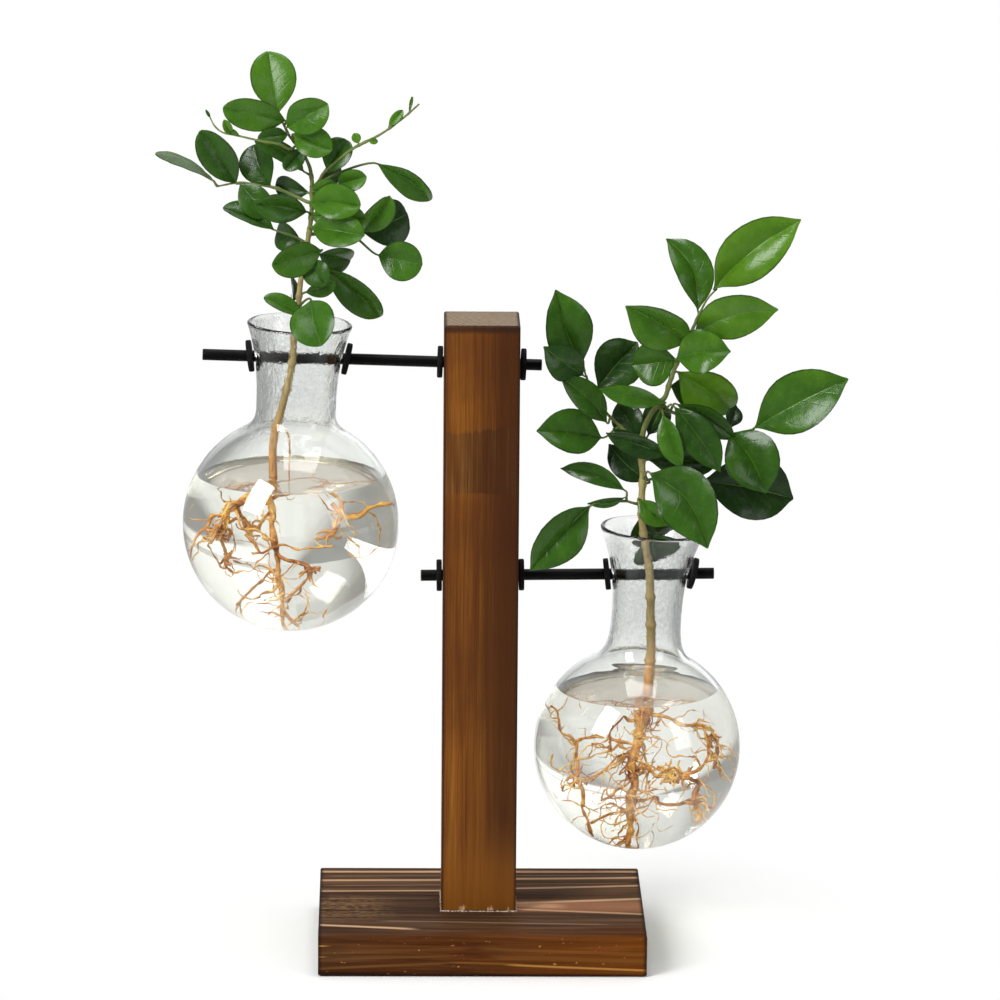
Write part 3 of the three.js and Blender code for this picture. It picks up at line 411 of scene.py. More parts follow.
def wear(piece, *finishes):
    """Gives a piece these materials and no others."""
    piece.data.materials.clear()
    for finish in finishes:
        piece.data.materials.append(finish)


def all_in_edit(piece):
    choose(piece)
    bpy.ops.object.mode_set(mode="EDIT")
    bpy.ops.mesh.select_all(action="SELECT")


def closed_up(piece):
    """Merges the doubles of a mesh and turns its faces outwards."""
    all_in_edit(piece)
    bpy.ops.mesh.remove_doubles(threshold=1e-6)
    bpy.ops.mesh.normals_make_consistent(inside=False)
    bpy.ops.object.mode_set(mode="OBJECT")
    return piece


def traced(name, runs, closed=False):
    """A curve object through runs of (point, radius) pairs in millimetres."""
    curve = bpy.data.curves.new(name, "CURVE")
    curve.dimensions = "3D"
    for run in runs:
        spline = curve.splines.new("POLY")
        spline.points.add(len(run) - 1)
        spline.use_cyclic_u = closed
        for knot, (point, radius) in zip(spline.points, run):
            knot.co = (*(Vector(point) * MM), 1)
            knot.radius = radius
    return linked(name, curve)


def as_mesh(piece):
    choose(piece)
    bpy.ops.object.convert(target="MESH")
    return active()


def turned(name, profile, steps, closed=False):
    """Turns a profile of (radius, height) pairs in millimetres about Z."""
    piece = as_mesh(traced(name, [[((radius, 0, height), 1) for radius, height in profile]], closed))
    all_in_edit(piece)
    bpy.ops.mesh.spin(steps=steps, angle=math.tau, center=(0, 0, 0), axis=(0, 0, 1))
    bpy.ops.object.mode_set(mode="OBJECT")
    return closed_up(piece)


def tubes(name, runs, finish, roundness=3):
    """Round runs of (point, radius) pairs in millimetres, as one mesh."""
    line = traced(name, runs)
    line.data.bevel_depth = MM
    line.data.bevel_resolution = roundness
    line.data.use_fill_caps = True
    piece = closed_up(as_mesh(line))
    wear(piece, finish)
    return piece


def facing(axis, place):
    """The frame of a piece that was turned about Z and now lies along axis at a place."""
    return Matrix.Translation(place) @ Vector(axis).to_track_quat("Z", "Y").to_matrix().to_4x4()


def clouds(name, size):
    texture = bpy.data.textures.new(name, "CLOUDS")
    texture.noise_scale = size * MM
    texture.noise_depth = 2
    return texture


def ruffled(piece, texture, strength):
    """Pushes a surface in and out a little, by up to half the strength in millimetres."""
    push = piece.modifiers.new("ruffle", "DISPLACE")
    push.texture = texture
    push.texture_coords = "GLOBAL"
    push.strength = strength * MM
    push.mid_level = 0.5
    apply_modifiers(piece)


def toned(piece, tone):
    """Stores how light or young the piece is at each point, from the point in millimetres."""
    layer = piece.data.attributes.new("tone", "FLOAT", "POINT")
    for corner, value in zip(piece.data.vertices, layer.data):
        value.value = tone(corner.co / MM)
    return piece


def mixed(a, b, share):
    return a + (b - a) * share


class Path:
    """A smooth way through given points, in millimetres."""

    def __init__(self, points):
        run = [Vector(point) for point in points]
        run = [2 * run[0] - run[1], *run, 2 * run[-1] - run[-2]]
        self.points = []
        for a, b, c, d in zip(run, run[1:], run[2:], run[3:]):
            ab, bc, cd = ((q - p).length ** 0.5 for p, q in ((a, b), (b, c), (c, d)))
            leave = bc * ((b - a) / ab - (c - a) / (ab + bc) + (c - b) / bc)
            arrive = bc * ((c - b) / bc - (d - b) / (bc + cd) + (d - c) / cd)
            self.points += interpolate_bezier(b, b + leave / 3, c - arrive / 3, c, PATH_STEPS + 1)[:-1]
        self.points.append(run[-2])
        self.reach = [0.0]
        for p, q in zip(self.points, self.points[1:]):
            self.reach.append(self.reach[-1] + (q - p).length)
        self.length = self.reach[-1]

    def at(self, share):
        goal = min(max(share, 0), 1) * self.length
        for i, reach in enumerate(self.reach[1:]):
            if reach >= goal:
                step = (goal - self.reach[i]) / max(reach - self.reach[i], 1e-9)
                return self.points[i].lerp(self.points[i + 1], step)
        return self.points[-1].copy()

    def along(self, share):
        return (self.at(share + 0.01) - self.at(share - 0.01)).normalized()

    def run(self, radius, start=0.0, end=1.0, step=0.8):
        """Points with their radius, a step apart, from one share of the length to another."""
        count = max(3, round(self.length * (end - start) / step))
        shares = [start + (end - start) * i / count for i in range(count + 1)]
        return [(self.at(share), radius(share)) for share in shares]


# Materials

class Wire:
    """A value on its way through a material. Sums on wires add the nodes that work them out."""

    def __init__(self, finish, socket):
        self.finish = finish
        self.socket = socket

    def __add__(self, other):
        return self.finish.maths("ADD", self, other)

    def __sub__(self, other):
        return self.finish.maths("SUBTRACT", self, other)

    def __rsub__(self, other):
        return self.finish.maths("SUBTRACT", other, self)

    def __mul__(self, other):
        return self.finish.maths("MULTIPLY", self, other)

    def __truediv__(self, other):
        return self.finish.maths("DIVIDE", self, other)

    def __pow__(self, other):
        return self.finish.maths("POWER", self, other)

    def __abs__(self):
        return self.finish.maths("ABSOLUTE", self)

    __radd__ = __add__


class Finish:
    """A material under construction, or the shading of the world that is its owner."""

    def __init__(self, name, owner=None):
        self.owner = owner or bpy.data.materials.new(name)
        self.owner.use_nodes = True
        self.tree = self.owner.node_tree
        self.tree.nodes.clear()

    def node(self, kind, sockets=(), out=0, **settings):
        made = self.tree.nodes.new("ShaderNode" + kind)
        for key, value in settings.items():
            setattr(made, key, value)
        for key, value in dict(sockets).items():
            if isinstance(value, Wire):
                self.tree.links.new(value.socket, made.inputs[key])
            else:
                made.inputs[key].default_value = value
        return Wire(self, made.outputs[out])

    def maths(self, operation, *values):
        return self.node("Math", enumerate(values), operation=operation)

    def vector(self, operation, *values, out=0):
        return self.node("VectorMath", enumerate(values), out, operation=operation)

    def lower(self, a, b):
        return self.maths("MINIMUM", a, b)

    def higher(self, a, b):
        return self.maths("MAXIMUM", a, b)

    def place(self):
        return self.node("TexCoord", out="Object")

    def outward(self):
        return self.node("NewGeometry", out="Normal")

    def tone(self):
        return self.node("Attribute", out="Fac", attribute_name="tone")

    def ray(self, kind):
        return self.node("LightPath", out=f"Is {kind} Ray")

    def axes(self, vector):
        return [self.node("SeparateXYZ", {0: vector}, axis) for axis in range(3)]

    def noise(self, vector, scale, detail=3.0, roughness=0.5, stretch=None):
        """Noise from 0 to 1. Where a number of stretch is small, its grains are long that way."""
        if stretch:
            vector = self.node("Mapping", {"Vector": vector, "Scale": stretch})
        return self.node("TexNoise", {
            "Vector": vector, "Scale": scale, "Detail": detail, "Roughness": roughness,
        })

    def spread(self, value, start, end, at_start=0.0, at_end=1.0):
        """A soft step between two values. The end may be below the start."""
        return self.node("MapRange", {
            "Value": value, "From Min": start, "From Max": end, "To Min": at_start, "To Max": at_end,
        }, interpolation_type="SMOOTHSTEP")

    def ramp(self, value, stops):
        """A colour between those of the stops, which are (value, colour) pairs."""
        wire = self.node("ValToRGB", {"Fac": value})
        elements = wire.socket.node.color_ramp.elements
        while len(elements) < len(stops):
            elements.new(1)
        for element, (place, colour) in zip(elements, stops):
            element.position = place
            element.color = (*colour, 1)
        return wire

    def mix(self, factor, a, b):
        a, b = (v if isinstance(v, Wire) else (*v, 1) for v in (a, b))
        return self.node("Mix", {0: factor, 6: a, 7: b}, 2, data_type="RGBA")

    def coated(self, colour, *coats):
        """A colour under coats of (factor, colour), the last one on top."""
        for factor, coat in coats:
            colour = self.mix(factor, colour, coat)
        return colour

    def bump(self, height, strength, distance):
        return self.node("Bump", {"Height": height, "Strength": strength, "Distance": distance})

    def surface(self, **sockets):
        return self.node("BsdfPrincipled", {key.replace("_", " "): v for key, v in sockets.items()})

    def painted(self, **sockets):
        return self.finished(self.surface(**sockets))

    def either(self, factor, a, b):
        """One shader, or the other where the factor is 1."""
        return self.node("MixShader", {0: factor, 1: a, 2: b})

    def finished(self, shader, kind="OutputMaterial"):
        self.tree.links.new(shader.socket, self.tree.nodes.new("ShaderNode" + kind).inputs["Surface"])
        return self.owner


def shade(colour, times, plus=0.0):
    return tuple(min(1, v * times + plus) for v in colour)


def grain_lines(finish, along, across, lines):
    """Pale streaks in millimetres, given one by one: each runs from one (along, across) to another and has a
    half width and a strength."""
    total = None
    for (x0, y0), (x1, y1), half, strength in lines:
        slope = (y1 - y0) / (x1 - x0)
        off = abs(across - (along - x0 * MM) * slope - y0 * MM)
        streak = finish.spread(off, half * MM, half * MM * 0.25)
        begun = finish.spread(along, x0 * MM, (x0 + STREAK_FADE) * MM)
        ended = finish.spread(along, x1 * MM, (x1 - STREAK_FADE) * MM)
        streak = streak * begun * ended * strength
        total = streak if total is None else finish.higher(total, streak)
    return total


def post_wood():
    wood = Finish("post wood")
    place = wood.place()
    x, y, z = wood.axes(place)
    wander = wood.noise(place, 22, 2, stretch=(1, 1, 0.35))
    swayed = wood.vector("MULTIPLY_ADD", wander, (0.0022, 0.0022, 0), place)
    fine = wood.noise(swayed, 2300, 2, 0.6, (1, 1, 0.012))
    streak = wood.noise(swayed, 560, 3, 0.55, (1, 1, 0.02))
    broad = wood.noise(swayed, 75, 2, stretch=(1, 1, 0.12))
    cloud = wood.noise(place, 26, 3, 0.6, (1, 1, 0.8))
    chips = wood.noise(place, 420, 2, stretch=(1, 1, 0.3))
    tone = fine * 0.34 + streak * 0.38 + broad * 0.28
    stained = wood.ramp(tone, [
        (0.3, (0.05, 0.013, 0.003)), (0.42, (0.115, 0.033, 0.004)), (0.51, (0.175, 0.057, 0.006)),
        (0.6, (0.23, 0.083, 0.010)), (0.72, (0.32, 0.135, 0.022)),
    ])
    bare = wood.ramp(fine * 0.5 + streak * 0.5, [
        (0.36, (0.045, 0.017, 0.005)), (0.5, (0.15, 0.062, 0.012)), (0.64, (0.30, 0.155, 0.045)),
    ])
    low, high = WORN_BAND
    worn = wood.spread(z + wander * 0.004 + fine * 0.002, low * MM, (low + 1) * MM)
    worn = worn * wood.spread(
        z - x * 0.13 + streak * 0.006 + fine * 0.002, (high + 1.3) * MM, high * MM,
    )
    dim_middle = wood.spread(z, 0.075, 0.1, 0.0, 0.3) * wood.spread(z, 0.176, 0.155)
    shaded = wood.spread(x + broad * 0.007 + worn * 0.006, -0.005, 0.0125, 0.0, 0.86)
    shaded = shaded * wood.spread(z, 0.018, 0.045, 0.45, 1.0)
    shaded = shaded * wood.spread(y, -0.0125, -0.012, 1.0, 0.3)
    # Painted light: the front face lighter and warmer towards its foot
    painted_foot_light = wood.spread(z, 0.02, 0.055, 0.55, 0.0) * wood.spread(y, -0.012, -0.0125)
    half = POST_SIDE / 2 * MM
    from_x = abs(x - POST_MIDDLE[0] * MM)
    from_y = abs(y - POST_MIDDLE[1] * MM)
    edges = wood.spread(wood.lower(from_x, from_y) + fine * 0.0008, half - 0.0009, half + 0.0002)
    near_top = wood.spread(z + streak * 0.002, (POST_TOP - 2.4) * MM, (POST_TOP - 0.6) * MM)
    heart = wood.vector("MULTIPLY_ADD", place, (1, 1, 0), (-0.021, 0.034, 0))
    rings = wood.node("TexWave", {
        "Vector": heart, "Scale": 170, "Distortion": 2.2, "Detail": 3, "Detail Scale": 1.6,
    }, "Fac", wave_type="RINGS", rings_direction="Z")
    pores = wood.noise(place, 1500, 3, 0.7, (1, 1, 0.1))
    end_grain = wood.ramp(rings * 0.45 + pores * 0.55, [
        (0.25, (0.08, 0.046, 0.024)), (0.5, (0.22, 0.15, 0.085)), (0.75, (0.36, 0.27, 0.17)),
    ])
    burnt = wood.spread(wood.higher(from_x, from_y) + pores * 0.0006, half - 0.0012, half - 0.0002)
    end_grain = wood.mix(burnt, end_grain, (0.045, 0.022, 0.014))
    foot = wood.spread(z + fine * 0.004 + streak * 0.003, 0.0215, 0.0198)
    colour = wood.coated(
        stained,
        (worn * 0.7, bare),
        (wood.spread(cloud, 0.42, 0.66, 0.0, 0.5), (0.085, 0.024, 0.006)),
        (dim_middle, (0.070, 0.022, 0.004)),
        (shaded, (0.046, 0.013, 0.003)),
        (painted_foot_light, (0.255, 0.088, 0.012)),
        (edges * 0.8, (0.02, 0.008, 0.005)),
        (near_top * 0.75, (0.025, 0.010, 0.006)),
        (wood.spread(z, (POST_TOP - 0.25) * MM, (POST_TOP - 0.1) * MM), end_grain),
        (foot * wood.spread(chips, 0.56, 0.64), (0.62, 0.36, 0.19)),
    )
    return wood.painted(
        Base_Color=colour, Specular_IOR_Level=0.1,
        Roughness=wood.spread(tone, 0.35, 0.65, 0.55, 0.42),
        Normal=wood.bump(fine * 0.5 + streak * 0.8, 0.45, 0.0005),
    )


def base_wood():
    wood = Finish("base board wood")
    place = wood.place()
    x, y, z = wood.axes(place)
    _, out, up = wood.axes(wood.outward())
    top = wood.spread(up, 0.6, 0.9)
    front = wood.spread(out, -0.6, -0.9)
    wander = wood.noise(place, 16, 2, stretch=(0.35, 1, 1))
    swayed = wood.vector("MULTIPLY_ADD", wander, (0, 0.006, 0.006), place)
    fine = wood.noise(swayed, 1900, 2, 0.6, (0.014, 1, 1))
    streak = wood.noise(swayed, 420, 3, 0.6, (0.03, 1, 1))
    broad = wood.noise(swayed, 62, 2, stretch=(0.14, 1, 1))
    flecks = wood.noise(place, 700, 2, 0.6, (0.5, 1, 1))
    tone = fine * 0.3 + streak * 0.42 + broad * 0.28
    dark = wood.ramp(tone, [
        (0.32, (0.024, 0.012, 0.007)), (0.46, (0.055, 0.028, 0.015)), (0.56, (0.095, 0.048, 0.023)),
        (0.7, (0.185, 0.095, 0.046)),
    ])
    warm = wood.ramp(tone, [
        (0.32, (0.036, 0.009, 0.002)), (0.45, (0.071, 0.019, 0.003)), (0.55, (0.113, 0.031, 0.004)),
        (0.68, (0.19, 0.060, 0.009)),
    ])
    warmth = wood.spread(y + broad * 0.024 - x * 0.1, -0.016, -0.040)
    bent = y + wander * 0.004 - 0.002
    patch = grain_lines(wood, x, bent, [((4, -5.5), (72, -6.5), 11, 0.7)])
    flame = grain_lines(wood, x, bent, [((8, -4), (34, -6.5), 4.2, 0.8)])
    top_lines = grain_lines(wood, x, bent, [
        ((-70, 39), (70, 40.5), 2.03, 0.95), ((-70, 27), (-8, 28.5), 1.79, 0.85),
        ((-2, 29.5), (70, 32.5), 1.87, 0.9), ((-70, 12.5), (-6, 14), 1.56, 0.85),
        ((6, 16.5), (70, 22), 1.72, 0.85), ((6, -3), (70, 4.5), 1.87, 0.85), ((6, -9), (70, -17), 1.48, 0.7),
        ((-70, -29), (-22, -36), 1.79, 1.0), ((-61, 3), (-14, 4), 0.7, 0.25),
        ((-40, -25), (50, -29), 0.94, 0.3), ((-61, 20), (61, 25), 0.7, 0.3),
        ((-61, 33), (61, 36), 0.7, 0.35),
    ])
    low = z + wander * 0.003 - 0.0015
    front_lines = grain_lines(wood, x, low, [
        ((6, 4.9), (69, 2.3), 0.6, 0.6), ((-69, 2.4), (-10, 5.2), 0.7, 0.12),
        ((-16, 5.5), (18, 5.1), 0.5, 0.16), ((-69, 8.2), (-2, 11), 1.0, 0.07),
        ((-4, 11.2), (69, 8.6), 1.0, 0.09), ((0, 7.8), (69, 6), 1.3, 0.08),
        ((-69, 5.6), (-6, 8.2), 0.8, 0.07), ((-72, 11.4), (-55, 11.5), 0.35, 1.5),
        ((-72, 7.2), (-56, 7.3), 0.3, 1.3),
    ])
    char = wood.spread(z + streak * 0.003, 0.0016, 0.0035, 0.85, 0.0) * (1 - top)
    rubbed = top * wood.spread(x, -0.028, -0.045) * wood.spread(abs(y + 0.008), 0.02, 0.006)
    rubbed = rubbed * wood.spread(flecks + streak * 0.5, 0.62, 0.92, 0.0, 0.5)
    ends = wood.spread(abs(x) + fine * 0.001, (BASE_HALF_WIDTH - 1.2) * MM, BASE_HALF_WIDTH * MM)
    colour = wood.coated(
        dark,
        (warmth, warm),
        (patch * top, (0.36, 0.16, 0.085)),
        (flame * top, (0.52, 0.29, 0.17)),
        (top_lines * top * wood.spread(fine, 0.3, 0.6, 0.6, 1.0), (0.62, 0.38, 0.23)),
        (front * wood.spread(x, -0.01, 0.06, 0.0, 0.35), (0.155, 0.046, 0.006)),
        (front * wood.spread(x, -0.061, -0.04, 0.4, 0.0), (0.03, 0.012, 0.005)),
        (front_lines * front, (0.55, 0.27, 0.06)),
        (char, (0.012, 0.006, 0.004)),
        (rubbed, (0.30, 0.17, 0.08)),
        (wood.spread(flecks, 0.70, 0.75, 0.0, 0.7) * front, (0.45, 0.22, 0.07)),
        (ends * 0.7, (0.016, 0.008, 0.006)),
    )
    return wood.painted(
        Base_Color=colour, Specular_IOR_Level=0.01,
        Roughness=wood.spread(tone, 0.35, 0.65, 0.62, 0.45),
        Normal=wood.bump(fine * 0.5 + streak, 0.5, 0.0006),
    )


def rod_steel(level):
    """Black paint on the bar, worn off round its cut ends, where the pale bare metal is also a painted
    highlight.
    """
    steel = Finish(f"{level} rod black steel")
    place = steel.place()
    start, axis = joint(f"{level}_rod_slide")
    from_axis = steel.vector("CROSS_PRODUCT", steel.vector("SUBTRACT", place, start * MM), axis)
    out = steel.vector("LENGTH", from_axis, out="Value")
    facing_end = abs(steel.vector("DOT_PRODUCT", steel.outward(), axis, out="Value"))
    # Pale ring on the end faces: bare metal where the paint is worn, and a painted highlight of the cut end
    worn = steel.spread(facing_end, 0.35, 0.8) * steel.spread(out, 0.0009, 0.0014)
    speck = steel.noise(place, 2400, 3, 0.6)
    drawn = steel.noise(place, 1600, 2, stretch=(0.05, 1, 1))
    colour = steel.mix(speck, (0.0015, 0.0015, 0.0015), (0.005, 0.005, 0.0048))
    colour = steel.mix(worn * steel.spread(speck, 0.3, 0.6, 0.4, 1.0), colour, (0.42, 0.42, 0.40))
    return steel.painted(
        Base_Color=colour, Roughness=steel.spread(drawn, 0.3, 0.7, 0.3, 0.42), Specular_IOR_Level=0.12,
        Normal=steel.bump(speck * 0.4 + drawn, 0.12, 0.0002),
    )


def washer_rubber():
    rubber = Finish("washer rubber")
    place = rubber.place()
    dust = rubber.noise(place, 700, 4, 0.65)
    skin = rubber.noise(place, 5200, 2)
    colour = rubber.mix(rubber.spread(dust, 0.4, 0.75), (0.003, 0.003, 0.003), (0.010, 0.010, 0.0098))
    return rubber.painted(
        Base_Color=colour, Specular_IOR_Level=0.15, Roughness=rubber.spread(dust, 0.35, 0.7, 0.6, 0.82),
        Normal=rubber.bump(skin, 0.25, 0.0002),
    )


def screw_steel():
    steel = Finish("screw steel")
    place = steel.place()
    scuff = steel.noise(place, 2600, 3, 0.6, (1, 0.1, 1))
    stain = steel.noise(place, 500, 3)
    colour = steel.mix(steel.spread(stain, 0.45, 0.7), (0.46, 0.45, 0.43), (0.22, 0.2, 0.17))
    return steel.painted(
        Base_Color=colour, Metallic=1.0, Roughness=steel.spread(scuff, 0.3, 0.7, 0.26, 0.45),
        Normal=steel.bump(scuff, 0.15, 0.0002),
    )


def dried_glue():
    paste = Finish("dried glue")
    crumb = paste.noise(paste.place(), 900, 3, 0.6)
    colour = paste.mix(paste.spread(crumb, 0.4, 0.62), (0.13, 0.07, 0.045), (0.62, 0.5, 0.4))
    return paste.painted(
        Base_Color=colour, Roughness=0.6, Normal=paste.bump(crumb, 0.4, 0.0004),
    )


def clear(name, tint, index, waves, misted=None, painted_top_reflection=None):
    """A clear body that lets the lamps through. Waves are slight unevenness of its faces, misted gives the
    heights in millimetres between which droplets hang on the glass, how thick they are and how much of the
    light they let through, and the last argument is a brownish tint of its level top, a painted reflection
    of the wood and roots above it."""
    body = Finish(name)
    place = body.place()
    colour = (*tint, 1)
    uneven = body.noise(place, 55, 2) * 0.7 + body.noise(place, 240, 2, stretch=(1, 1, 0.4)) * 0.3
    if misted:
        low, high, thick, clearness = misted
        _, _, z = body.axes(place)
        wet = body.noise(place, 620, 2, 0.6)
        drops = body.spread(wet, 0.55, 0.68)
        # Painted shade: the droplets' rims tinted grey
        drop_rim_shade = body.spread(wet, 0.5, 0.56) - body.spread(wet, 0.58, 0.64)
        runs = body.spread(body.noise(place, 330, 1, stretch=(1, 1, 0.3)), 0.6, 0.72)
        within = body.spread(z, (low - 4) * MM, (low + 4) * MM) * body.spread(z, high * MM, (high - 3) * MM)
        uneven = uneven + (drops + runs) * within * thick
        colour = body.mix(within, tint, shade(tint, clearness))
        colour = body.mix(within * drop_rim_shade * (1 - clearness) * 4, colour, (0.42, 0.44, 0.42))
    # Painted reflection: the level top tinted brownish, like the wood and roots it mirrors
    if painted_top_reflection:
        _, _, upward = body.axes(body.outward())
        colour = body.mix(body.spread(abs(upward), 0.96, 0.995), tint, painted_top_reflection)
    refracting = body.surface(
        Base_Color=colour, Roughness=0.0, IOR=index, Transmission_Weight=1.0,
        Normal=body.bump(uneven, waves, 0.001),
    )
    letting = body.node("BsdfTransparent", {"Color": (*tint, 1)})
    return body.finished(body.either(body.ray("Shadow"), refracting, letting))


def blade_marks(green, pairs):
    """Where the midrib, side veins and rim of a blade are, from its own map."""
    along, across, _ = green.axes(green.node("UVMap", uv_map="UVMap"))
    off = abs(across - 0.5) * 2
    rib = green.spread(off, 0.075, 0.02) * green.spread(along, 0.75, 1.0, 1.0, 0.25)
    place = green.place()
    sway = green.noise(place, 130, 2)
    near = green.maths("PINGPONG", (along - off * 0.22 + sway * 0.06) * pairs, 0.5)
    veins = green.spread(near, 0.09, 0.0) * green.spread(off, 0.95, 0.6)
    rim = green.spread(off + sway * 0.03, 0.93, 1.0)
    return place, off, rib, veins, rim


def leaf_top(name, pairs, gloss, dark, middle, light):
    green = Finish(name)
    place, off, rib, veins, rim = blade_marks(green, pairs)
    mottle = green.noise(place, 210, 4, 0.6)
    cells = green.noise(place, 2600, 2)
    bloom = green.noise(place, 75, 2)
    tone = green.tone() + mottle * 0.34 + bloom * 0.3 - 0.32 + off * 0.06
    colour = green.coated(
        green.ramp(tone, [(0.05, dark), (0.45, middle), (0.95, light)]),
        (veins * 0.1, tuple((v + w) / 2 for v, w in zip(middle, light))),
        (rib * 0.4, shade(light, 1.25, 0.01)),
        (rim * 0.65, shade(dark, 0.5)),
    )
    height = cells * 0.05 + mottle * 0.6 - veins * 0.09 - rib * 0.07 + bloom * 1.2
    return green.painted(
        Base_Color=colour, Specular_IOR_Level=0.32,
        Roughness=green.spread(mottle, 0.3, 0.7, gloss, gloss + 0.12),
        Normal=green.bump(height, 0.5, 0.0007),
    )


def leaf_under(name, pairs, dark, light):
    green = Finish(name)
    place, _, rib, veins, rim = blade_marks(green, pairs)
    mottle = green.noise(place, 260, 4, 0.6)
    colour = green.coated(
        green.mix(green.tone() * 0.6 + mottle * 0.4, dark, light),
        (rib * 0.5 + veins * 0.2, shade(light, 1.5, 0.04)),
        (rim * 0.5, shade(dark, 0.4)),
    )
    return green.painted(
        Base_Color=colour, Roughness=0.55, Specular_IOR_Level=0.3,
        Normal=green.bump(veins + rib + mottle * 0.5, 0.3, 0.0005),
    )


def stem_bark():
    bark = Finish("stem bark")
    place = bark.place()
    streak = bark.noise(place, 1300, 3, 0.6, (1, 1, 0.16))
    patch = bark.noise(place, 160, 3, 0.6, (1, 1, 0.5))
    lenticel = bark.noise(place, 900, 1, stretch=(1, 1, 1.8))
    colour = bark.coated(
        bark.ramp(bark.tone() + patch * 0.24 - 0.12, [
            (0.0, (0.40, 0.16, 0.035)), (0.17, (0.50, 0.25, 0.07)), (0.25, (0.33, 0.235, 0.085)),
            (0.5, (0.37, 0.28, 0.11)), (0.66, (0.40, 0.34, 0.12)), (0.8, (0.19, 0.23, 0.05)),
            (1.0, (0.075, 0.15, 0.022)),
        ]),
        (bark.spread(streak, 0.42, 0.7, 0.0, 0.6), (0.17, 0.085, 0.035)),
        (bark.spread(lenticel, 0.68, 0.76, 0.0, 0.7), (0.08, 0.045, 0.02)),
    )
    return bark.painted(
        Base_Color=colour, Roughness=0.62, Normal=bark.bump(streak + patch, 0.4, 0.0004),
    )


def root_skin():
    skin = Finish("root skin")
    place = skin.place()
    patch = skin.noise(place, 170, 4, 0.7)
    fibre = skin.noise(place, 1500, 3, 0.6)
    colour = skin.ramp(patch * 0.75 + fibre * 0.25 + skin.tone() * 0.06, [
        (0.34, (0.10, 0.028, 0.006)), (0.43, (0.33, 0.105, 0.018)), (0.52, (0.60, 0.27, 0.05)),
        (0.62, (0.80, 0.50, 0.14)), (0.72, (0.86, 0.68, 0.34)),
    ])
    return skin.painted(
        Base_Color=colour, Roughness=0.6, Normal=skin.bump(fibre + patch, 0.4, 0.0004),
    )



POST_WOOD = post_wood()
BASE_WOOD = base_wood()
WASHER_RUBBER = washer_rubber()
SCREW_STEEL = screw_steel()
GLUE = dried_glue()
GLASS = {
    "upper": clear("upper flask glass", (0.968, 0.984, 0.966), 1.5, 0.06, (199, 240, 6, 0.945)),
    "lower": clear("lower flask glass", (0.958, 0.974, 0.962), 1.5, 0.05, (118, 158, 1.6, 0.925)),
}
WATER = clear("water", (0.968, 0.957, 0.912), 1.333, 0.03, painted_top_reflection=(0.48, 0.39, 0.30))
STEM_BARK = stem_bark()
ROOT_SKIN = root_skin()
LEAF_FINISHES = {
    "upper": [
        leaf_top(
            "upper leaf top", 7, 0.21,
            (0.014, 0.040, 0.008), (0.038, 0.118, 0.008), (0.094, 0.235, 0.010),
        ),
        leaf_under("upper leaf underside", 7, (0.05, 0.09, 0.04), (0.19, 0.26, 0.15)),
    ],
    "lower": [
        leaf_top(
            "lower leaf top", 8, 0.17,
            (0.011, 0.032, 0.007), (0.038, 0.116, 0.008), (0.124, 0.283, 0.010),
        ),
        leaf_under("lower leaf underside", 8, (0.035, 0.075, 0.03), (0.15, 0.22, 0.11)),
    ],
}


# Stand

def joint(name):
    """Place of a joint in millimetres, and its axis."""
    found = next(j for j in frame["joints"] if j["name"] == name)
    return Vector(found["pos_m"]) / MM, Vector(found["axis"]).normalized()


def dress_stand():
    finishes = {
        "base_board": BASE_WOOD, "post": POST_WOOD,
        "base_screw_left": SCREW_STEEL, "base_screw_right": SCREW_STEEL,
    }
    for name, finish in finishes.items():
        for material_slot in frame["nodes"][name].material_slots:
            material_slot.material = finish


def add_glue_bead():
    """A bead of uneven thickness round the foot of the post."""
    draws = random.Random(5)
    half = POST_SIDE / 2 + GLUE_OUT
    middle = Vector((*POST_MIDDLE, BASE_TOP))
    signs = [(-1, -1), (1, -1), (1, 1), (-1, 1), (-1, -1)]
    corners = [middle + Vector((x, y, 0)) * half for x, y in signs]
    run = [
        (corner.lerp(after, i / GLUE_STEPS), draws.uniform(*GLUE_RADII))
        for corner, after in zip(corners, corners[1:])
        for i in range(GLUE_STEPS)
    ]
    bead = tubes("glue_bead", [[*run, run[0]]], GLUE, 2)
    smoothed(bead)
    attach(bead, "stand")


def add_rod(level):
    """A round bar with eased ends, from its stub beside the post to its far end past the flask."""
    place, axis = joint(f"{level}_rod_slide")
    neck, _ = joint(f"{level}_flask_swing")
    far = (neck - place).dot(axis) + FLASKS[level]["past_neck"]
    low, high = sorted((far, -math.copysign(ROD_STUB, far)))
    eased = [
        (ROD_EASE * (math.cos(t) - 1), ROD_EASE * (math.sin(t) - 1))
        for t in (0, 0.4, 0.8, 1.2, math.pi / 2)
    ]
    profile = [
        (0, low), (ROD_END_RING, low),
        *((ROD_RADIUS + b, low - a) for a, b in eased),
        *((ROD_RADIUS, mixed(low, high, i / ROD_STEPS)) for i in range(1, ROD_STEPS)),
        *((ROD_RADIUS + a, high + b) for a, b in eased),
        (ROD_END_RING, high), (0, high),
    ]
    rod = turned(f"{level}_round_bar", profile, ROD_SIDES)
    rod.data.transform(facing(axis, place * MM))
    wear(rod, rod_steel(level))
    smoothed(rod)
    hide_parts(f"{level}_rod")
    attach(rod, f"{level}_rod")


def lie_of(node):
    """Centre of a washer's solid and the way it faces: the way in which it is thinnest."""
    corners = np.array([vertex.co for vertex in frame["nodes"][node].data.vertices])
    low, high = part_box(node)
    _, directions = np.linalg.eigh(np.cov((corners - corners.mean(axis=0)).T))
    return (low + high) / 2, Vector(directions[:, 0])


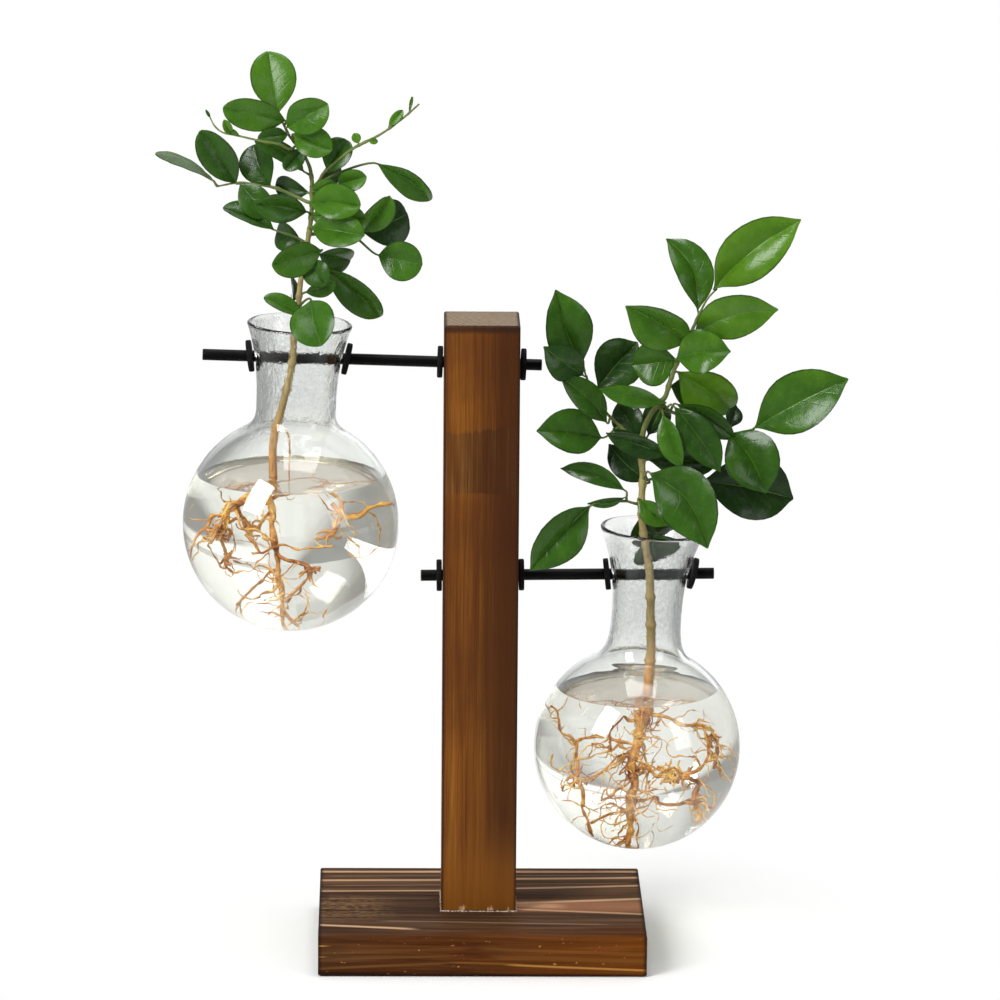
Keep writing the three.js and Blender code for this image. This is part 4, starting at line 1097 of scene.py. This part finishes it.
def add_washer(node, body):
    """A flat ring with a rounded rim and an eased bore."""
    centre, axis = lie_of(node)
    half = WASHER_THICKNESS / 2
    profile = [(WASHER_BORE, BORE_EASE - half), (WASHER_BORE + BORE_EASE, -half)]
    for turn in range(-90, 91, 20):
        angle = math.radians(turn)
        profile.append((
            WASHER_RADIUS - WASHER_EASE * (1 - math.cos(angle)),
            math.copysign(half - WASHER_EASE, turn) + WASHER_EASE * math.sin(angle),
        ))
    profile += [(WASHER_BORE + BORE_EASE, half), (WASHER_BORE, half - BORE_EASE)]
    washer = turned(f"{node}_ring", profile, WASHER_SIDES, closed=True)
    washer.data.transform(facing(axis, centre))
    wear(washer, WASHER_RUBBER)
    smoothed(washer)
    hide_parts(node)
    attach(washer, body)


# Flasks

def bezier(count, *points):
    return [(p.x, p.y) for p in interpolate_bezier(*(Vector((*p, 0)) for p in points), count + 1)]


def arc(radius, top, count):
    """Points up a ball from its lowest one to an angle above its middle, as (radius, height)."""
    angles = [mixed(-math.pi / 2, top, i / count) for i in range(1, count + 1)]
    return [(0, -radius), *((radius * math.cos(angle), radius * math.sin(angle)) for angle in angles)]


def flask_outline(flask):
    """Outside of the glass from the bottom of the bulb to the rim, as (radius, height)."""
    top = math.radians(flask["shoulder"])
    flare = math.radians(flask["flare"])
    ball = arc(flask["bulb"], top, BULB_STEPS)
    radius, height = ball.pop()
    run = flask["shoulder_run"]
    pull = (radius - run * math.sin(top), height + run * math.cos(top))
    waist = (flask["waist"], flask["waist_height"])
    eased = (flask["waist"], mixed(pull[1], flask["waist_height"], 0.25))
    shoulder = bezier(SHOULDER_STEPS, (radius, height), pull, eased, waist)
    rim = (flask["rim"], flask["rim_height"])
    run = flask["rim_pull"]
    rim_pull = (rim[0] - run * math.sin(flare), rim[1] - run * math.cos(flare))
    upright = (flask["waist"], mixed(flask["waist_height"], flask["rim_height"], 0.37))
    return [*ball, *shoulder, *bezier(NECK_STEPS, waist, upright, rim_pull, rim)[1:]]


def glass_profile(flask):
    """A wall of even thickness inside the outline, closed over a melted round lip."""
    outside = [Vector(point) for point in flask_outline(flask)]
    inside = [outside[0] + Vector((0, GLASS_WALL))]
    for before, point, after in zip(outside, outside[1:], [*outside[2:], outside[-1]]):
        along = (after - before).normalized()
        inside.append(point + Vector((-along.y, along.x)) * GLASS_WALL)
    middle = (outside[-1] + inside[-1]) / 2
    half = (outside[-1] - inside[-1]) / 2
    up = Vector((-half.y, half.x))
    angles = [math.pi * i / LIP_STEPS for i in range(1, LIP_STEPS)]
    lip = [middle + half * math.cos(angle) + up * math.sin(angle) for angle in angles]
    return [*outside, *lip, *reversed(inside)]


def add_flask(level):
    flask = FLASKS[level]
    neck, axis = joint(f"{level}_flask_swing")
    lean = Matrix.Rotation(math.radians(flask["lean"]), 4, "Y")
    down = Matrix.Translation((0, 0, -flask["rod_height"] * MM))
    glass = turned(f"{level}_blown_flask", glass_profile(flask), FLASK_SIDES)
    glass.data.transform(Matrix.Translation(neck * MM) @ lean @ down)
    bpy.ops.object.select_all(action="DESELECT")
    bpy.ops.mesh.primitive_cylinder_add(vertices=48, radius=HOLE_RADIUS * MM, depth=DRILL_LENGTH * MM)
    drill = active()
    drill.data.transform(facing(axis, (neck - Vector((0, 0, HOLE_DROP))) * MM))
    cut = glass.modifiers.new("holes", "BOOLEAN")
    cut.operation = "DIFFERENCE"
    cut.solver = "EXACT"
    cut.object = drill
    apply_modifiers(glass)
    bpy.data.objects.remove(drill)
    wear(glass, GLASS[level])
    smoothed(glass, 50)
    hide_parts(f"{level}_flask")
    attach(glass, f"{level}_flask")


def add_water(level):
    """Fills the bulb to its level, with the surface drawn up at the glass."""
    flask = FLASKS[level]
    centre, _ = joint(f"{level}_water_level")
    surface = flask["water"]
    radius = flask["bulb"] - GLASS_WALL + WATER_OVERLAP
    profile = arc(radius, math.asin((surface + WATER_CLIMB) / radius), WATER_STEPS)
    edge = profile[-1][0]
    profile += [
        (edge - off, surface + WATER_CLIMB * math.exp(-off / CLIMB_WIDTH))
        for off in (0.1, 0.25, 0.4, 0.6, 0.85, 1.15, 1.6, 2.2, 3)
    ]
    profile += [(edge * share, surface) for share in (0.75, 0.5, 0.25, 0)]
    water = turned(f"{level}_clear_water", profile, FLASK_SIDES)
    water.data.transform(Matrix.Translation(centre * MM))
    wear(water, WATER)
    smoothed(water, 60)
    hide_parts(f"{level}_water")
    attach(water, f"{level}_water")


# Cuttings

def picked_in_turn(rows, goals):
    """Picks one row of corners after the other in edit mode. Each time it gives where the row is and
    its goal."""
    for (at, corners), goal in zip(sorted(rows.items()), goals):
        bpy.ops.mesh.select_all(action="DESELECT")
        for corner in corners:
            corner.select_set(True)
        yield at, goal


def master_blade(name, outline):
    """A blade 1 long and 1 wide at the origin: outline shaped row by row, midrib sunk, sides raised."""
    across = [(-share, rise) for share, rise in reversed(BLADE_RISE)] + BLADE_RISE[1:]
    bpy.ops.object.select_all(action="DESELECT")
    bpy.ops.mesh.primitive_grid_add(
        x_subdivisions=len(outline) - 1, y_subdivisions=len(across) - 1, size=1, calc_uvs=True,
    )
    blade = active()
    blade.name = name
    bpy.ops.object.mode_set(mode="EDIT")
    grid = bmesh.from_edit_mesh(blade.data)
    rows = {}
    columns = {}
    for corner in grid.verts:
        columns.setdefault(round(corner.co.x, 4), []).append(corner)
        rows.setdefault(round(corner.co.y, 4), []).append(corner)
    for y, (share, rise) in picked_in_turn(rows, across):
        bpy.ops.transform.translate(value=(0, share / 2 - y, rise))
    for x, (place, width) in picked_in_turn(columns, outline):
        bpy.ops.transform.resize(value=(1, width, width), center_override=(0, 0, 0))
        bpy.ops.transform.translate(value=(place - x, 0, 0))
    bpy.ops.object.mode_set(mode="OBJECT")
    blade.hide_render = True
    return blade


def leaf_frame(leaf, more_roll=0.0):
    """The blade's own axes: X along it, Z out of its face, which roll turns from the viewer."""
    along = (Vector(leaf.tip) - Vector(leaf.foot)).normalized()
    face = Vector((0, -1, 0))
    face = (face - along * face.dot(along)).normalized()
    face = Matrix.Rotation(math.radians(leaf.roll + more_roll), 3, along) @ face
    return Matrix((along, face.cross(along), face)).transposed()


def leaf_length(leaf):
    return (Vector(leaf.tip) - Vector(leaf.foot)).length


def bent_blade(master, leaf, draws):
    """A copy of the blade, sized, bent along its midrib and twisted a little, and put in place."""
    length = leaf_length(leaf)
    blade = linked(master.name, master.data.copy())
    lift = leaf.width * draws.uniform(*LEAF_LIFT)
    blade.data.transform(Matrix.Diagonal((length * MM, leaf.width * MM, lift * MM, 1)))
    twist = math.radians(draws.uniform(-LEAF_TWIST, LEAF_TWIST))
    droop = draws.uniform(*LEAF_DROOP) * length
    shares = [i / MIDRIB_STEPS for i in range(MIDRIB_STEPS + 1)]
    run = []
    for t in shares:
        swell = math.sin(math.pi * t)
        run.append(((length * t, -leaf.bow * swell, leaf.arch * swell + droop * t ** 3), 1))
    guide = traced("midrib", [run])
    guide.data.twist_mode = "Z_UP"
    guide.data.use_stretch = True
    guide.data.use_deform_bounds = True
    for knot, t in zip(guide.data.splines[0].points, shares):
        knot.tilt = twist * t
    bend = blade.modifiers.new("bend", "CURVE")
    bend.object = guide
    bend.deform_axis = "POS_X"
    apply_modifiers(blade)
    bpy.data.objects.remove(guide)
    axes = leaf_frame(leaf, draws.uniform(-LEAF_ROLL, LEAF_ROLL))
    blade.data.transform(Matrix.Translation(Vector(leaf.foot) * MM) @ axes.to_4x4())
    return toned(blade, lambda corner: leaf.tone)


def petiole(twig, leaf):
    """The leaf's stalk from its place on the twig, and the rib that it goes on as under the blade."""
    start = twig.at(min(leaf.place, 0.99))
    foot = Vector(leaf.foot)
    along, side, face = leaf_frame(leaf).col
    way = foot - start
    thick = STALK_RADIUS if leaf.width > 5 else THIN_STALK_RADIUS
    leave = start + way * 0.3 + twig.along(leaf.place) * way.length * 0.12
    arrive = foot - along * min(way.length * 0.35, 3)
    points = interpolate_bezier(start, leave, arrive, foot, STALK_STEPS + 1)
    run = [(point, thick * mixed(1.25, 0.8, i / STALK_STEPS)) for i, point in enumerate(points)]
    for i in range(1, 6):
        t = i / 16
        off = (face * leaf.arch - side * leaf.bow) * math.sin(math.pi * t)
        below = face * (0.02 * leaf.width * (1 - t) + STALK_RADIUS)
        run.append((foot + along * leaf_length(leaf) * t + off - below, thick * mixed(0.8, 0.1, t * 3)))
    return run


def swollen(path, start, end, joints):
    """A twig's radius along its length, thicker at its joints."""
    def radius(share):
        off = [(share - place) * path.length / JOINT_WIDTH for place in joints]
        bumps = sum(math.exp(-v ** 2) for v in off)
        return mixed(start, end, share) * (1 + JOINT_SWELL * min(bumps, 1))
    return radius


def leafy(name, level, twig_runs, leaves, tone, node, draws):
    """Twigs with their leaves, as pairs of twig and leaf, as one piece that stands for a node."""
    neck, _ = joint(f"{level}_flask_swing")
    wood = tubes(f"{name}_wood", twig_runs, STEM_BARK)
    ruffled(wood, CLOUDS["bark"], 0.22)
    toned(wood, tone)
    stalks = tubes(f"{name}_stalks", [petiole(twig, leaf) for twig, leaf in leaves], STEM_BARK, 2)
    toned(stalks, lambda corner: 1.0)
    blades = joined(f"{name}_blades", [bent_blade(BLADES[level], leaf, draws) for _, leaf in leaves])
    wear(blades, *LEAF_FINISHES[level])
    ruffled(blades, CLOUDS["leaf"], 1.9)
    wall = blades.modifiers.new("thickness", "SOLIDIFY")
    wall.thickness = LEAF_THICKNESS * MM
    wall.offset = 0
    wall.material_offset = 1
    apply_modifiers(blades)
    whole = joined(name, [blades, wood, stalks])
    whole.data.transform(Matrix.Translation(neck * MM))
    smoothed(whole, 60)
    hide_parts(node)
    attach(whole, f"{level}_flask")


def grown(twig, rows):
    """The leaves on a twig, as pairs of twig and leaf."""
    return [(twig, Leaf(*row)) for row in rows]


def add_shoot(name, level, shoot, stem, draws):
    """A twig that leaves the stem sideways, or goes on from its top, with its leaves."""
    foot, top = CUTTINGS[level]["stem"]
    origin = shoot["from"]
    start = stem.at(origin)
    out = stem.along(origin)
    if origin < 1:
        off = Vector(shoot["twig"][0]) - start
        out = (off - out * off.dot(out)).normalized()
    twig = Path([start, start + out * mixed(foot, top, origin) * 1.2, *shoot["twig"]])
    leaves = grown(twig, shoot["leaves"])
    width = 0.7 if origin < 1 else top * 0.8
    runs = [twig.run(swollen(twig, width, TWIG_TIP, [leaf.place for _, leaf in leaves]))]
    if "side_twig" in shoot:
        side_twig = Path(shoot["side_twig"])
        runs.append(side_twig.run(lambda share: mixed(0.55, 0.3, share)))
        leaves += grown(side_twig, shoot["side_leaves"])
    node = f"{level}_{name}_shoot"
    leafy(f"{level}_{name}_sprig", level, runs, leaves, lambda corner: 0.93, node, draws)


def add_cutting(level):
    cutting = CUTTINGS[level]
    draws = random.Random(cutting["seed"])
    neck, _ = joint(f"{level}_flask_swing")
    centre, _ = joint(f"{level}_water_level")
    foot, top = cutting["stem"]
    to_centre = centre - neck
    route = [Vector(point) + to_centre for point in cutting["in_bulb"]]
    on_rod = (cutting["at_rod"], -(ROD_RADIUS + STEM_GAP + foot), 0)
    stem = Path([*route, on_rod, *cutting["above"]])
    leaves = grown(stem, cutting["leaves"])
    joints = [leaf.place for _, leaf in leaves] + cutting["scars"]
    joints += [shoot["from"] for shoot in cutting["shoots"].values()]
    radius = swollen(stem, foot * 0.98, top * 0.78, joints)
    low, high = stem.points[0].z, stem.points[-1].z

    def age(corner):
        return 0.05 + 0.85 * (corner.z - low) / (high - low)

    runs = [stem.run(radius, 0, cutting["bare"])]
    if "hanging_root" in cutting:
        hanging = Path([Vector(point) + to_centre for point in cutting["hanging_root"]])
        runs.append(hanging.run(lambda share: mixed(0.42, 0.22, share)))
    bare = tubes(f"{level}_bare_stem", runs, STEM_BARK, 5)
    ruffled(bare, CLOUDS["bark"], 0.4)
    toned(bare, age)
    bare.data.transform(Matrix.Translation(neck * MM))
    smoothed(bare, 60)
    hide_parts(f"{level}_stem")
    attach(bare, f"{level}_flask")
    upper_run = stem.run(radius, cutting["bare"] - 0.01, 1)
    leafy(f"{level}_leafy_stem", level, [upper_run], leaves, age, f"{level}_leader", draws)
    for name, shoot in cutting["shoots"].items():
        add_shoot(name, level, shoot, stem, draws)
    add_roots(level, centre, draws)


def scatter(draws, spread):
    return Vector([draws.gauss(0, spread) for _ in range(3)])


def kinked(path, spread, draws):
    """The same way with small random turns in it."""
    kinks = max(2, round(path.length / KINK_SPACING))
    between = [path.at(i / kinks) + scatter(draws, spread) for i in range(1, kinks)]
    return Path([path.at(0), *between, path.at(1)])


def knotty(path, start, end, draws):
    """A root's radius along its length, with random thick and thin places."""
    wobble = [draws.uniform(*WOBBLE) for _ in range(WOBBLE_COUNT)]

    def radius(share):
        at = share * path.length / WOBBLE_SPACING
        low = int(at)
        return mixed(start, end, share) * mixed(wobble[low], wobble[low + 1], at - low)
    return radius


def wandering(start, heading, length, draws, ball, surface):
    """A fine root that wanders off, kept inside the bulb and under water."""
    point = start.copy()
    heading = heading.normalized()
    points = [point.copy()]
    for _ in range(max(4, round(length / ROOTLET_STEP))):
        heading = (heading + scatter(draws, 1) * 0.38 + Vector((0, 0, -0.035))).normalized()
        point = point + heading * ROOTLET_STEP
        if point.length > ball:
            point = point * (ball / point.length)
            outward = point.normalized()
            heading = (heading - outward * heading.dot(outward)).normalized()
        if point.z > surface:
            point.z = surface
            heading.z = -abs(heading.z)
        points.append(point.copy())
    return points


def add_roots(level, centre, draws):
    """Main roots along their chosen ways, knots of short stubs on them, and fine rootlets."""
    cutting = CUTTINGS[level]
    flask = FLASKS[level]
    scale = (flask["bulb"] - GLASS_WALL) / cutting["grown_in"]
    room = (flask["bulb"] - GLASS_WALL - ROOTLET_CLEARANCE, flask["water"] - ROOTLET_DEPTH)
    crown = Vector(cutting["in_bulb"][0]) + Vector((0, 0, 0.4))
    paths = []
    runs = []
    fine_runs = []
    for i, (start, end, points) in enumerate(cutting["roots"]):
        run = [Vector(point) * scale for point in points]
        path = kinked(Path(run), 0.62, draws) if i else kinked(Path([crown, *run]), 0.28, draws)
        paths.append((path, start))
        runs.append(path.run(knotty(path, start, end, draws), step=0.5))
    for knot in cutting["knots"]:
        for _ in range(STUBS_PER_KNOT):
            start = Vector(knot) * scale + scatter(draws, 0.6)
            outward = scatter(draws, 1)
            points = wandering(start, outward, draws.uniform(2, 4.5), draws, *room)
            stub = draws.uniform(0.28, 0.6)
            runs.append([(point, stub * mixed(1, 0.5, i / len(points))) for i, point in enumerate(points)])
    for _ in range(cutting["rootlets"]):
        path, _ = draws.choices(paths, [path.length * thick for path, thick in paths])[0]
        start = path.at(draws.uniform(0.04, 1))
        outward = Vector((start.x + draws.gauss(0, 14), start.y + draws.gauss(0, 12), draws.gauss(-3, 9)))
        points = wandering(start, outward, draws.uniform(5, 24), draws, *room)
        fine = draws.uniform(0.12, 0.36)
        fine_runs.append([
            (point, fine * mixed(1, 0.4, i / len(points)) * draws.uniform(0.75, 1.3))
            for i, point in enumerate(points)
        ])
    thick_roots = toned(tubes(f"{level}_thick_roots", runs, ROOT_SKIN, 2), lambda corner: 0.0)
    fine_roots = toned(tubes(f"{level}_fine_roots", fine_runs, ROOT_SKIN, 1), lambda corner: 1.0)
    roots = joined(f"{level}_root_tangle", [thick_roots, fine_roots])
    ruffled(roots, CLOUDS["root"], 0.55)
    roots.data.transform(Matrix.Translation(centre * MM))
    smoothed(roots, 60)
    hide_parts(f"{level}_roots")
    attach(roots, f"{level}_flask")


CLOUDS = {
    "leaf": clouds("leaf waves", 11),
    "bark": clouds("bark lumps", 2.4),
    "root": clouds("root lumps", 1.8),
}
BLADES = {
    "upper": master_blade("upper_blade_master", UPPER_BLADE),
    "lower": master_blade("lower_blade_master", LOWER_BLADE),
}

dress_stand()
add_glue_bead()
for level in ("upper", "lower"):
    add_rod(level)
    for side in ("left", "right"):
        add_washer(f"{level}_post_washer_{side}", "stand")
        add_washer(f"{level}_neck_washer_{side}", f"{level}_flask")
    add_flask(level)
    add_water(level)
    add_cutting(level)
for blade in BLADES.values():
    bpy.data.objects.remove(blade)


# Studio

CAMERA_TARGET = Vector((5.995, 0, 170.19)) * MM
CAMERA_DISTANCE = 2.3229
CAMERA_ELEVATION = math.radians(13.02)
CAMERA_YAW = math.radians(1.10)
CAMERA_ROLL = math.radians(0.44)
CAMERA_LENS = 225.97
LAMP_TARGET = Vector((0, 0, 0.17))
WHITE = (1, 1, 1, 1)


def add_camera():
    ahead = Vector((
        math.sin(CAMERA_YAW) * math.cos(CAMERA_ELEVATION),
        math.cos(CAMERA_YAW) * math.cos(CAMERA_ELEVATION),
        -math.sin(CAMERA_ELEVATION),
    ))
    level_right = ahead.cross(Vector((0, 0, 1))).normalized()
    level_up = level_right.cross(ahead)
    right = level_right * math.cos(CAMERA_ROLL) + level_up * math.sin(CAMERA_ROLL)
    up = level_up * math.cos(CAMERA_ROLL) - level_right * math.sin(CAMERA_ROLL)
    camera = linked("camera", bpy.data.cameras.new("camera"))
    camera.data.sensor_width = 36
    camera.data.lens = CAMERA_LENS
    camera.data.clip_end = 30
    axes = Matrix((right, up, -ahead)).transposed().to_4x4()
    camera.matrix_world = Matrix.Translation(CAMERA_TARGET - ahead * CAMERA_DISTANCE) @ axes
    bpy.context.scene.camera = camera


def add_lamp(name, direction, distance, size, power, tilt=0.0):
    """A rectangular softbox that looks at the part from a direction, unseen by the camera."""
    lamp = linked(name, bpy.data.lights.new(name, "AREA"))
    lamp.data.shape = "RECTANGLE"
    lamp.data.size, lamp.data.size_y = size
    lamp.data.energy = power
    direction = Vector(direction).normalized()
    place = LAMP_TARGET + direction * distance
    lamp.matrix_world = facing(direction, place) @ Matrix.Rotation(math.radians(tilt), 4, "Z")
    lamp.visible_camera = False


def add_world():
    """White for the camera, soft light for the part, and a window and a darker room for the glass."""
    sky = Finish("studio", bpy.data.worlds.new("studio"))
    x, y, z = sky.axes(sky.node("TexCoord", out="Generated"))
    backdrop = sky.spread(y, -0.1, 0.55, 0.09, 1.0) * sky.spread(abs(x), 0.12, 0.3, 1.0, 0.35)
    window = sky.spread(x, 0.03, 0.09) * sky.spread(z, 0.0, 0.002)
    past = 0.86 + window * 0.46 - sky.spread(x, -0.2, -0.42) * 0.4
    past = past * sky.spread(abs(x), 0.7, 0.93, 1.0, 0.3)
    light, white, room, behind = (
        sky.node("Background", {"Color": WHITE, "Strength": strength})
        for strength in (0.4, 1.0, backdrop, past)
    )
    shown = sky.either(sky.ray("Glossy"), light, room)
    shown = sky.either(sky.ray("Transmission"), shown, behind)
    shown = sky.either(sky.ray("Camera"), shown, white)
    bpy.context.scene.world = sky.finished(shown, "OutputWorld")


def add_floor():
    """Matt paper near the part that turns into plain white farther off, and shade in mirrored rays."""
    bpy.ops.object.select_all(action="DESELECT")
    bpy.ops.mesh.primitive_circle_add(vertices=96, radius=4, fill_type="NGON", location=(0, 0, -0.0003))
    floor = active()
    floor.name = "studio_floor"
    paper = Finish("floor paper")
    place = paper.place()
    x, y, _ = paper.axes(place)
    reach = (x * x + y * y) ** 0.5
    far = paper.spread(reach, 0.07, 0.165)
    fibre = paper.noise(place, 60, 3)
    matt = paper.surface(
        Base_Color=paper.mix(fibre, (0.95, 0.95, 0.945), (0.98, 0.98, 0.975)), Roughness=0.8,
    )
    seen, through, mirrored = (paper.ray(kind) for kind in ("Camera", "Transmission", "Glossy"))
    shaded = mirrored * paper.higher(
        paper.spread(y, -0.35, 0.05, 0.86, 0.0), paper.spread(abs(x), 0.1, 0.25, 0.0, 0.6),
    )
    lit = through * paper.spread(reach, 1.1, 1.5) * paper.spread(x / reach, 0.03, 0.09)
    glow = paper.coated((1, 1, 1), (shaded, (0, 0, 0)), (lit, (1.32, 1.32, 1.32)))
    shown = paper.higher(paper.higher(seen, through), mirrored)
    white = paper.node("Emission", {"Color": glow})
    wear(floor, paper.finished(paper.either(shown * far, matt, white)))


add_camera()
add_lamp("key softbox", (-0.587, -0.58, 0.569), 1.3, (0.45, 0.75), 14, -7)
add_lamp("fill softbox", (0.75, -0.55, 0.3), 1.5, (0.5, 0.8), 2.5)
add_lamp("top softbox", (0.1, 0.0, 1.0), 1.3, (0.9, 0.7), 7)
add_world()
add_floor()
bpy.context.scene.view_settings.view_transform = "Standard"
bpy.context.scene.cycles.max_bounces = 32
bpy.context.scene.cycles.transmission_bounces = 32
bpy.context.scene.cycles.glossy_bounces = 12

bpy.context.view_layer.update()
